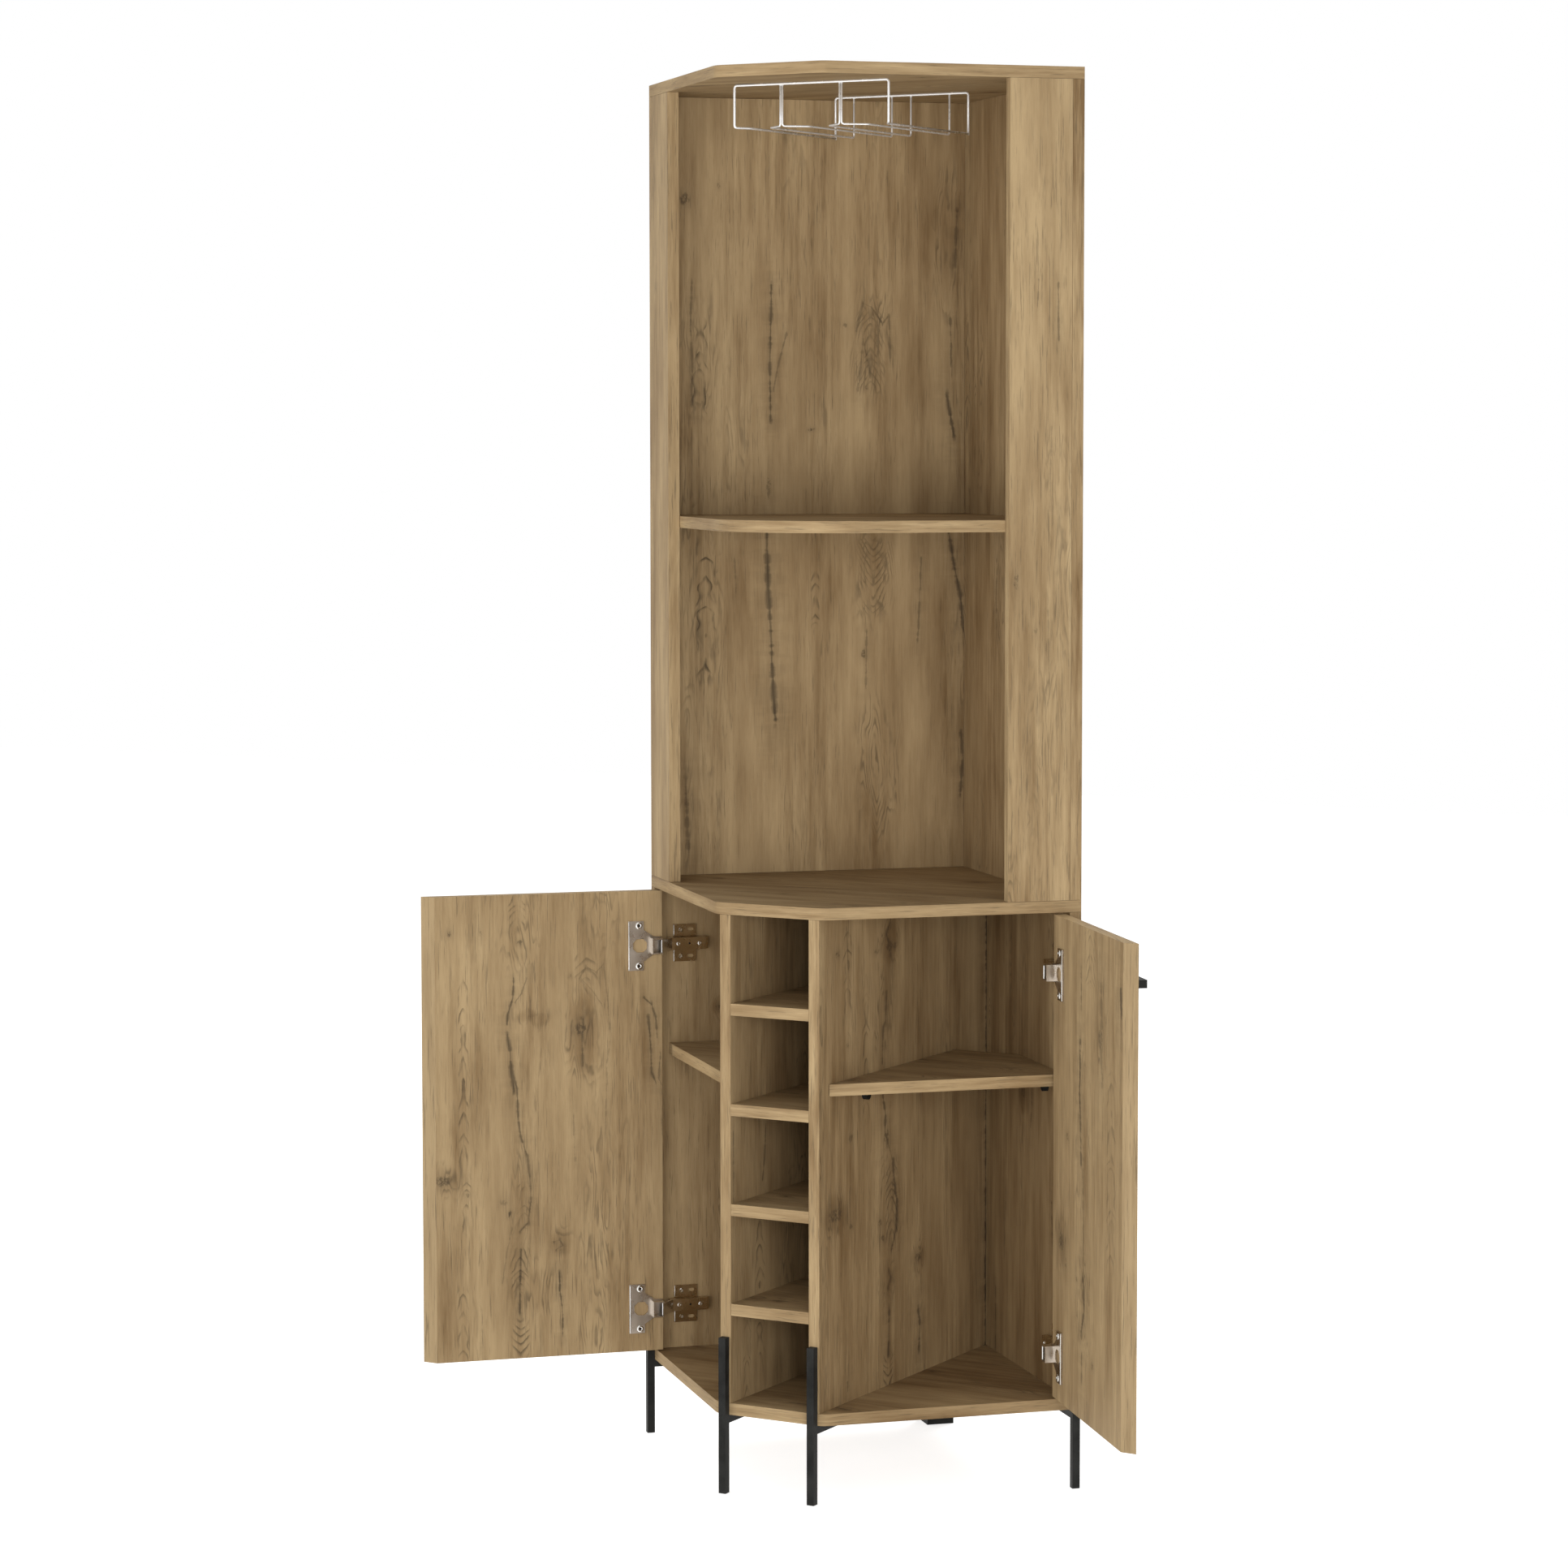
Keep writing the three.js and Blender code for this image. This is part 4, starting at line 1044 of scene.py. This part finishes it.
RIGHT_STILE = {
    "blotches": [(0.0286, 1.157, 0.004, 0.014, 0.75), (0.0025, 1.096, 0.003, 0.006, 0.40)],
    "cracks": [
        ([(-0.026, 1.530), (-0.027, 1.460)], 0.0011, 0.65), ([(0.000, 1.535), (0.001, 1.500)], 0.0008, 0.50),
        ([(-0.014, 1.120), (-0.016, 1.030)], 0.0008, 0.40),
        ([(-0.018, 1.350), (-0.016, 1.250)], 0.0008, 0.35),
    ],
    "feathers": [(0.004, 0.900, 0.010, 0.080, 0.040, 0.035, 0.25)],
}
LEFT_STILE = {
    "blotches": [(-0.0855, 1.154, 0.004, 0.014, 0.75)],
    "cracks": [([(-0.060, 1.530), (-0.062, 1.410)], 0.0009, 0.40)],
}
RIGHT_DIVIDER = {
    "swirls": [
        (0.432, 0.360, 0.030, 0.030, 2.5, 0.45), (0.290, 0.340, 0.030, 0.070, 5.0, 0.20),
        (0.206, 0.269, 0.020, 0.024, 2.0, 0.40), (0.284, 0.690, 0.030, 0.030, 3.0, 0.35),
        (0.290, 0.255, 0.024, 0.030, 2.5, 0.20), (0.300, 0.600, 0.024, 0.060, 3.0, 0.0),
    ],
    "blotches": [
        (0.432, 0.360, 0.024, 0.012, 0.80), (0.426, 0.690, 0.007, 0.006, 0.80),
        (0.286, 0.686, 0.012, 0.008, 0.80), (0.271, 0.686, 0.006, 0.005, 0.65),
        (0.321, 0.683, 0.010, 0.004, 0.55), (0.398, 0.573, 0.005, 0.004, 0.65),
        (0.294, 0.441, 0.009, 0.011, 0.85), (0.391, 0.453, 0.007, 0.005, 0.65),
        (0.312, 0.330, 0.006, 0.007, 0.65), (0.305, 0.310, 0.007, 0.006, 0.80),
        (0.391, 0.339, 0.006, 0.005, 0.60), (0.206, 0.269, 0.012, 0.006, 0.80),
    ],
    "cracks": [
        ([(0.284, 0.733), (0.284, 0.719), (0.295, 0.703), (0.289, 0.691), (0.284, 0.677)], 0.0022, 0.80),
        ([(0.295, 0.626), (0.297, 0.592), (0.304, 0.581), (0.306, 0.539)], 0.0022, 0.70),
        ([(0.304, 0.495), (0.297, 0.468), (0.299, 0.448), (0.292, 0.436)], 0.0032, 0.90),
        ([(0.290, 0.432), (0.274, 0.400)], 0.0020, 0.60),
        ([(0.276, 0.406), (0.274, 0.383), (0.265, 0.354), (0.267, 0.318), (0.281, 0.290)], 0.0030, 0.85),
        ([(0.287, 0.264), (0.283, 0.255), (0.289, 0.245)], 0.0022, 0.75),
        ([(0.287, 0.213), (0.287, 0.177), (0.289, 0.156)], 0.0024, 0.90),
        ([(0.205, 0.198), (0.201, 0.182), (0.203, 0.150)], 0.0028, 0.90),
        ([(0.399, 0.140), (0.399, 0.131)], 0.0020, 0.65), ([(0.402, 0.723), (0.398, 0.670)], 0.0016, 0.45),
        # A crack along the joint with the wall board, which paints the shade in the open joint
        ([(0.0090, 0.742), (0.0090, 0.112)], 0.0027, 1.0),
    ],
    "feathers": [
        (0.400, 0.650, 0.012, 0.080, 0.030, 0.024, 0.45), (0.289, 0.130, 0.014, 0.030, 0.012, -0.012, 0.55),
        (0.350, 0.560, 0.010, 0.110, 0.030, 0.026, 0.45), (0.280, 0.350, 0.018, 0.060, 0.013, 0.020, 0.50),
    ],
}
RIGHT_DOOR = {
    "swirls": [(0.510, 0.480, 0.030, 0.100, 3.0, 0.10), (0.420, 0.329, 0.030, 0.040, 2.0, 0.40),
               (0.596, 0.615, 0.026, 0.060, 2.0, 0.35), (0.520, 0.270, 0.030, 0.060, 3.0, 0.10)],
    "blotches": [(0.420, 0.325, 0.016, 0.014, 0.80), (0.446, 0.463, 0.008, 0.008, 0.50),
                 (0.592, 0.608, 0.012, 0.014, 0.75), (0.490, 0.290, 0.005, 0.004, 0.65),
                 (0.440, 0.300, 0.005, 0.012, 0.50), (0.561, 0.195, 0.008, 0.006, 0.60),
                 (0.678, 0.663, 0.007, 0.009, 0.75)],
    "cracks": [
        ([(0.505, 0.676), (0.506, 0.640)], 0.0032, 0.60),
        ([(0.502, 0.592), (0.502, 0.555), (0.500, 0.525), (0.505, 0.495), (0.508, 0.440)], 0.0030, 0.90),
        ([(0.595, 0.665), (0.596, 0.629), (0.589, 0.608), (0.600, 0.560)], 0.0050, 0.50),
        ([(0.517, 0.430), (0.520, 0.345), (0.519, 0.294)], 0.0022, 0.55),
        ([(0.519, 0.294), (0.523, 0.254), (0.513, 0.229)], 0.0034, 0.85),
        ([(0.514, 0.200), (0.514, 0.170)], 0.0026, 0.60), ([(0.678, 0.675), (0.681, 0.652)], 0.0034, 0.90),
    ],
    "feathers": [(0.640, 0.450, 0.020, 0.140, 0.034, 0.030, 0.35),
                 (0.545, 0.700, 0.024, 0.040, 0.016, 0.030, 0.40)],
}


def scattered(seed, low, high, bottom, top, counts):
    """Seeded marks within a board's reach: knots, bands of grain and splits."""
    rng = random.Random(seed)
    knots, bands, splits = counts
    marks = {"swirls": [], "blotches": [], "cracks": [], "feathers": []}
    for _ in range(knots):
        size = rng.uniform(0.004, 0.011)
        across, height = rng.uniform(low, high), rng.uniform(bottom, top)
        marks["blotches"].append((across, height, size, size * rng.uniform(0.7, 1.1),
                                  rng.uniform(0.5, 0.85)))
        marks["swirls"].append((across, height, size * 2.2, size * 3.0, rng.uniform(1.5, 3.0), 0.4))
    for _ in range(bands):
        across, height = rng.uniform(low, high), rng.uniform(bottom, top)
        marks["swirls"].append((across, height, rng.uniform(0.018, 0.028), rng.uniform(0.07, 0.12),
                                rng.uniform(3.0, 5.0), 0.1))
        marks["feathers"].append((rng.uniform(low, high), rng.uniform(bottom, top),
                                  rng.uniform(0.008, 0.015), rng.uniform(0.08, 0.14),
                                  rng.uniform(0.014, 0.036), 0.028, 0.45))
    for _ in range(splits):
        across, height = rng.uniform(low, high), rng.uniform(bottom, top)
        path = [(across, height)]
        for _ in range(2):
            across += rng.uniform(-0.006, 0.006)
            height -= rng.uniform(0.025, 0.060)
            path.append((across, height))
        marks["cracks"].append((path, rng.uniform(0.0010, 0.0019), rng.uniform(0.5, 0.9)))
    return marks


def dress_board(name, lie, seed, marks=None, counts=None, lift=(0.0, -0.08), joint=None):
    """Oak on one board, with marks given in a list or a count of knots, bands and splits.

    The lift paints light and shade: it makes the faces and the cut edges a little lighter or darker than the
    usual oak.
    A joint material paints the shadow of an open joint on the edges of a board that meets another in the
    corner."""
    settings = bpy.context.scene.bar_cabinet.oak
    if marks is None:
        turn = board_axes(lie)
        corners = [turn @ vertex.co for vertex in NODES[name].data.vertices]
        across = [corner.x for corner in corners]
        heights = [corner.z for corner in corners]
        marks = scattered(seed, min(across), max(across), min(heights), max(heights), counts)
    material = oak_material(name, lie, float(seed), settings, marks, lift)
    dress(name, material, settings.joint_rounding if joint else settings.edge_rounding, rim=joint)


# Operators, one for each kind of piece

class CabinetOperator:
    """What all steps of the cabinet share"""
    bl_options = {"REGISTER", "UNDO"}


class BARCAB_OT_panels(CabinetOperator, bpy.types.Operator):
    """Finish the top, middle and bottom panels and all shelves in oak"""
    bl_idname = "bar_cabinet.panels"
    bl_label = "Panels and shelves"

    def execute(self, context):
        # The lifts paint shade: every panel and shelf is darker than the usual oak, the top panel and the
        # small shelves less so.
        for i, name in enumerate(("bottom_panel", "middle_panel", "top_panel", "upper_shelf")):
            lift = -0.10 if name == "top_panel" else -0.20
            dress_board(name, LEVEL, 11 + i, counts=(3, 3, 3), lift=(lift, -0.02))
        for i, side in enumerate(SIDES):
            dress_board(f"side_shelf_{side}", LEVEL, 21 + i, counts=(1, 1, 1), lift=(-0.10, -0.02))
        for i in range(1, 5):
            dress_board(f"bottle_shelf_{i}", LEVEL, 30 + i, counts=(1, 1, 1), lift=(-0.10, -0.04))
        return {"FINISHED"}


class BARCAB_OT_walls(CabinetOperator, bpy.types.Operator):
    """Finish the wall boards, stiles and dividers in oak"""
    bl_idname = "bar_cabinet.walls"
    bl_label = "Walls, stiles and dividers"

    def execute(self, context):
        to_right, to_left, sideways = upright(-45.0), upright(-135.0), upright(0.0)
        # The walls that meet in the corner get a dark material on their rounded edges, which paints the
        # shadow in the open joint.
        joint_shade_tone = context.scene.bar_cabinet.oak.joint_shade_tone
        joint = coated_material("dust in the joints", joint_shade_tone, 0.8, 900.0)
        # The lifts paint shade: the walls and dividers deep in the cabinet are darker than the usual oak,
        # the right walls most.
        dress_board("upper_wall_left", to_right, 41, UPPER_LEFT, lift=(-0.08, -0.08), joint=joint)
        dress_board("upper_wall_right", to_left, 42, counts=(3, 4, 4), lift=(-0.28, -0.10))
        dress_board("upper_stile_right", to_right, 43, RIGHT_STILE)
        dress_board("upper_stile_left", to_left, 44, LEFT_STILE)
        dress_board("lower_wall_left", to_right, 45, counts=(3, 3, 4), joint=joint)
        dress_board("lower_wall_right", to_left, 46, counts=(3, 3, 6), lift=(-0.25, -0.10))
        dress_board("divider_left", sideways, 47, counts=(4, 3, 4), lift=(-0.12, -0.10))
        dress_board("divider_right", sideways, 48, RIGHT_DIVIDER, lift=(-0.12, -0.10))
        return {"FINISHED"}


class BARCAB_OT_doors(CabinetOperator, bpy.types.Operator):
    """Finish the two doors in oak"""
    bl_idname = "bar_cabinet.doors"
    bl_label = "Doors"

    def execute(self, context):
        left = upright(45.0 + REST_TURN["left"])
        right = upright(-45.0 + REST_TURN["right"])
        # The lifts paint light: the doors' cut edges are much lighter than the usual oak, and their faces a
        # little.
        dress_board("door_left", left, 51, LEFT_DOOR, lift=(0.02, 0.28))
        dress_board("door_right", right, 52, RIGHT_DOOR, lift=(0.06, 0.28))
        return {"FINISHED"}


class BARCAB_OT_black_parts(CabinetOperator, bpy.types.Operator):
    """Finish the legs, handles, rear foot and shelf pins in black"""
    bl_idname = "bar_cabinet.black_parts"
    bl_label = "Legs, handles, foot and pins"

    def execute(self, context):
        settings = context.scene.bar_cabinet.black
        rough = settings.roughness
        steel = coated_material("black powder coat", settings.steel_colour, rough, 1900.0)
        plastic = coated_material("black moulding", settings.plastic_colour, rough + 0.06, 1200.0)
        for side in SIDES:
            for name in (f"leg_column_{side}", f"leg_wall_{side}", f"handle_{side}"):
                dress(name, steel, settings.edge_rounding, 3)
            for i in range(1, 5):
                dress(f"shelf_pin_{side}_{i}", plastic, settings.edge_rounding / 2)
        dress("rear_foot", plastic, settings.edge_rounding * 2, 3)
        return {"FINISHED"}


class BARCAB_OT_hinges(CabinetOperator, bpy.types.Operator):
    """Finish the hinges and add their screws and rims"""
    bl_idname = "bar_cabinet.hinges"
    bl_label = "Hinges"

    def execute(self, context):
        settings = context.scene.bar_cabinet.hinge
        # Copies of the one nickel with painted reflections: brown and dark on the arms and plates, paler on
        # the flanges. The bright copy paints glints on the rounded plate edges, the rims and the links, and
        # is also used on the screws.
        steel = plated_material("nickel on arms", settings.arm_colour_with_reflection, 0.26)
        pale = plated_material("nickel on flanges", settings.flange_colour_with_reflection, 0.28)
        bright = plated_material("bright nickel", settings.bright_glint_colour, 0.20)
        dark = coated_material("drive hole shadow", (0.018, 0.013, 0.010), 0.7, 2500.0)
        for side in SIDES:
            for level, height in HINGE_HEIGHTS.items():
                label = f"{side}_{level}"
                for part, plating in (("base", steel), ("arm", steel), ("flange", pale), ("link", bright)):
                    dress(f"hinge_{part}_{label}", plating, settings.edge_rounding, 3, bright)
                self.add_base_fittings(side, height, label, settings, bright, dark)
                self.add_door_fittings(side, height, label, settings, bright, dark)
        return {"FINISHED"}

    @staticmethod
    def add_base_fittings(side, height, label, settings, bright, dark):
        """The screws and rims of a mounting plate, and the screws of its arm with a dark disc that paints
        the shadow in its hole.
        """
        radius = settings.small_radius

        def add(name, bm, material, back, across, rise=0.0, sideways=along_way(side)):
            point = plan_point(side, BASE_FRONT - back, across, height + rise)
            seat = seat_matrix(point, sideways, across_way(side))
            add_fitting(name, bm, material, "carcass", seat)

        for i, rise in enumerate((-BASE_SCREW_RISE, BASE_SCREW_RISE)):
            screw = cross_screw(radius, BASE_HEAD, BASE_RECESS)
            add(f"base_screw_{label}_{i + 1}", screw, bright, BASE_SCREW_BACK, PLATE_TOP, rise)
        for i, (back, head) in enumerate(ARM_SCREWS):
            screw = cross_screw(radius * ARM_SCREW_SHARE, head, head * ARM_RECESS_SHARE)
            add(f"arm_screw_{label}_{i + 1}", screw, bright, back, ARM_TOP)
        add(f"arm_hole_{label}", drive_hole(radius * ARM_HOLE_SHARE), dark, ARM_HOLE_BACK, ARM_TOP)
        for i, rise in enumerate((-BASE_RIM_RISE, BASE_RIM_RISE)):
            rim = rolled_rim(BASE_RIM_LENGTH, settings.rim_width * BASE_RIM_SHARE, BASE_RIM_HEIGHT)
            add(f"base_rim_{label}_{i + 1}", rim, bright, BASE_RIM_BACK, PLATE_TOP, rise, UP)

    @staticmethod
    def add_door_fittings(side, height, label, settings, bright, dark):
        """The screws and the rim of a flange, which move with the door."""
        radius = settings.screw_radius

        def add(name, bm, material, inward, rise, sideways, lift=0.0):
            point = plan_point(side, FLANGE_FACE, DOOR_EDGE + inward, height + rise)
            seat = hung(seat_matrix(point, sideways, -along_way(side)), side)
            add_fitting(name, bm, material, f"{side}_door",
                        seat @ Matrix.Translation((0.0, 0.0, lift)))

        across = across_way(side)
        for i, rise in enumerate((-DOOR_SCREW_RISE, DOOR_SCREW_RISE)):
            add(f"door_screw_{label}_{i + 1}", door_screw(radius), bright, DOOR_SCREW_IN, rise, across)
            add(f"door_screw_hole_{label}_{i + 1}", drive_hole(radius), dark, DOOR_SCREW_IN, rise, across,
                DRIVE_HOLE_LIFT)
        rim = rolled_rim(FLANGE_RIM_LENGTH, settings.rim_width, FLANGE_RIM_HEIGHT)
        inward = FLANGE_IN - settings.rim_width / 2 - RIM_MARGIN
        add(f"flange_rim_{label}", rim, bright, inward, 0.0, UP)


class BARCAB_OT_rack(CabinetOperator, bpy.types.Operator):
    """Bend the wires of the stemware rack and weld them together"""
    bl_idname = "bar_cabinet.rack"
    bl_label = "Stemware rack"

    def execute(self, context):
        settings = context.scene.bar_cabinet.rack
        chrome = plated_material("chromed wire", settings.wire_colour, settings.roughness, 0.45)

        def add_wire(name, corners, radius, node):
            wire = wire_mesh([Vector(corner) for corner in corners], radius)
            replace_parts(add_fitting(name, wire, chrome, "carcass"), node)

        def add_bead(name, point, *shape):
            add_fitting(name, weld_bead(Vector(point), *shape), chrome, "carcass")

        hoop_end = RACK_BACK - HOOP_RADIUS - SEAT
        half = [(HOOP_HALF, hoop_end, LOW_WIRE), (HOOP_HALF, RACK_MOUTH, LOW_WIRE),
                (HOOP_FRONT_HALF, RACK_FRONT, LOW_WIRE), (HOOP_FRONT_HALF, RACK_FRONT, HIGH_WIRE)]
        front = [(-x, y, z) for x, y, z in half] + half[::-1]
        add_wire("front_hoop_wire", front, HOOP_RADIUS, "rack_front_hoop")
        foot = LOW_WIRE - HOOP_RADIUS
        rear = [(-HOOP_HALF, RACK_BACK, foot), (-HOOP_HALF, RACK_BACK, HIGH_WIRE),
                (HOOP_HALF, RACK_BACK, HIGH_WIRE), (HOOP_HALF, RACK_BACK, foot)]
        add_wire("rear_hoop_wire", rear, HOOP_RADIUS, "rack_rear_hoop")
        top = HIGH_WIRE - HOOP_RADIUS - SEAT
        pair = RAIL_RADIUS + SEAT / 2
        rails = (("outer_left", -POST_HALF - pair, -OUTER_RAIL_HALF),
                 ("inner_left", -POST_HALF + pair, -INNER_RAIL_HALF),
                 ("inner_right", POST_HALF - pair, INNER_RAIL_HALF),
                 ("outer_right", POST_HALF + pair, OUTER_RAIL_HALF))
        for label, post, rail in rails:
            corners = [(post, RACK_FRONT, top), (post, RACK_FRONT, LOW_WIRE), (rail, RACK_MOUTH, LOW_WIRE),
                       (rail, RACK_BACK, LOW_WIRE), (rail, RACK_BACK, top)]
            add_wire(f"{label}_rail_wire", corners, RAIL_RADIUS, f"rack_rail_{label}")
            for end, x, y in (("front", post, RACK_FRONT), ("rear", rail, RACK_BACK)):
                add_bead(f"{label}_{end}_weld", (x, y, top + BEAD_SINK), RAIL_BEAD,
                         (1.05, 1.0, 0.8), len(label) * 7)
        for label, x in (("left", -HOOP_HALF), ("right", HOOP_HALF)):
            add_bead(f"{label}_hoop_weld", (x, hoop_end + BEAD_SINK, LOW_WIRE), HOOP_BEAD,
                     (1.0, 0.8, 1.0), 5)
        return {"FINISHED"}


def area_lamp(name, place, power):
    """A soft rectangular lamp that points at the cabinet and isn't seen itself."""
    light = bpy.data.lights.new(name, "AREA")
    light.shape = "RECTANGLE"
    light.size, light.size_y = LAMP_SIZE
    light.energy = power
    lamp = bpy.data.objects.new(name, light)
    bpy.context.scene.collection.objects.link(lamp)
    lamp.location = place
    lamp.visible_camera = False
    lamp.visible_glossy = False
    lamp.rotation_euler = (Vector(LAMP_AIM) - Vector(place)).to_track_quat("-Z", "Y").to_euler()


def seen_directly(bench):
    """One where a ray comes from the camera, a reflection or a clear piece."""
    path = bench.add("ShaderNodeLightPath").outputs
    first = bench.higher(path["Is Camera Ray"], path["Is Glossy Ray"])
    return bench.higher(first, path["Is Transmission Ray"])


class BARCAB_OT_stage(CabinetOperator, bpy.types.Operator):
    """Lay the pale floor, hang the soft lamps and set the camera"""
    bl_idname = "bar_cabinet.stage"
    bl_label = "Studio"

    def execute(self, context):
        settings = context.scene.bar_cabinet.stage
        self.lay_floor(settings)
        self.light_room(settings)
        self.set_camera(settings)
        context.scene.view_settings.view_transform = "Standard"
        return {"FINISHED"}

    @staticmethod
    def lay_floor(settings):
        """A pale floor that keeps the cabinet's shadow and glows where it is seen."""
        bm = bmesh.new()
        bmesh.ops.create_grid(bm, x_segments=24, y_segments=24, size=FLOOR_SIZE)
        material = bpy.data.materials.new("pale floor")
        bench = clean_bench(material)
        output = bench.add("ShaderNodeOutputMaterial")
        base = bench.add("ShaderNodeBsdfDiffuse")
        where = bench.add("ShaderNodeTexCoord")
        speckle = bench.noise(where.outputs["Object"], 120.0, 3.0, 0.6)
        tone = settings.floor_tone
        dull = tone * 0.97
        bench.feed(base.inputs["Color"],
                   bench.mix(speckle, (dull, dull, dull, 1.0), (tone, tone, tone, 1.0)))
        glow = bench.add("ShaderNodeEmission")
        glow.inputs["Color"].default_value = WHITE
        bench.feed(glow.inputs["Strength"], bench.times(seen_directly(bench), FLOOR_GLOW))
        both = bench.add("ShaderNodeAddShader")
        bench.feed(both.inputs[0], base.outputs[0])
        bench.feed(both.inputs[1], glow.outputs[0])
        bench.feed(output.inputs[0], both.outputs[0])
        floor = mesh_object("studio_floor", bm, material)
        floor.location.z = -FLOOR_GAP

    @staticmethod
    def light_room(settings):
        """Even light from all sides, with a white background, and four lamps."""
        world = bpy.data.worlds.new("studio room")
        bpy.context.scene.world = world
        bench = clean_bench(world)
        output = bench.add("ShaderNodeOutputWorld")
        back = bench.add("ShaderNodeBackground")
        back.inputs["Color"].default_value = WHITE
        bench.feed(back.inputs["Strength"],
                   bench.mix(seen_directly(bench), settings.room_light, 1.0, "FLOAT"))
        bench.feed(output.inputs[0], back.outputs[0])
        for name, place in LAMPS.items():
            area_lamp(f"{name} lamp", place, getattr(settings, f"{name}_power"))

    @staticmethod
    def set_camera(settings):
        """The camera, where the solve of the cabinet's corners puts it."""
        data = bpy.data.cameras.new("front camera")
        data.sensor_width = CAMERA_SENSOR
        data.lens = settings.lens
        data.shift_x, data.shift_y = CAMERA_SHIFT
        data.clip_end = 60.0
        camera = bpy.data.objects.new("front camera", data)
        bpy.context.scene.collection.objects.link(camera)
        camera.location = CAMERA_PLACE
        camera.rotation_euler = (math.radians(90.0 - CAMERA_DIP), 0.0, math.radians(CAMERA_TURN))
        bpy.context.scene.camera = camera


class BARCAB_PT_panel(bpy.types.Panel):
    """The cabinet's steps and settings"""
    bl_label = "Corner bar cabinet"
    bl_idname = "BARCAB_PT_panel"
    bl_space_type = "VIEW_3D"
    bl_region_type = "UI"
    bl_category = "Bar cabinet"

    def draw(self, context):
        for operator in OPERATORS:
            self.layout.operator(operator.bl_idname)
        settings = context.scene.bar_cabinet
        for group in (settings.oak, settings.black, settings.hinge, settings.rack, settings.stage):
            box = self.layout.box()
            for key in group.__annotations__:
                box.prop(group, key)


OPERATORS = (BARCAB_OT_panels, BARCAB_OT_walls, BARCAB_OT_doors, BARCAB_OT_black_parts,
             BARCAB_OT_hinges, BARCAB_OT_rack, BARCAB_OT_stage)
CLASSES = (OakSettings, BlackSettings, HingeSettings, RackSettings, StageSettings, CabinetSettings,
           *OPERATORS, BARCAB_PT_panel)


def register():
    """Registers the settings, operators and panel."""
    for cls in CLASSES:
        bpy.utils.register_class(cls)
    bpy.types.Scene.bar_cabinet = PointerProperty(type=CabinetSettings)


def unregister():
    """Takes the settings, operators and panel away again."""
    del bpy.types.Scene.bar_cabinet
    for cls in reversed(CLASSES):
        bpy.utils.unregister_class(cls)


def main():
    """Builds every piece in order."""
    register()
    bpy.ops.bar_cabinet.panels()
    bpy.ops.bar_cabinet.walls()
    bpy.ops.bar_cabinet.doors()
    bpy.ops.bar_cabinet.black_parts()
    bpy.ops.bar_cabinet.hinges()
    bpy.ops.bar_cabinet.rack()
    bpy.ops.bar_cabinet.stage()


if __name__ == "__main__":
    main()
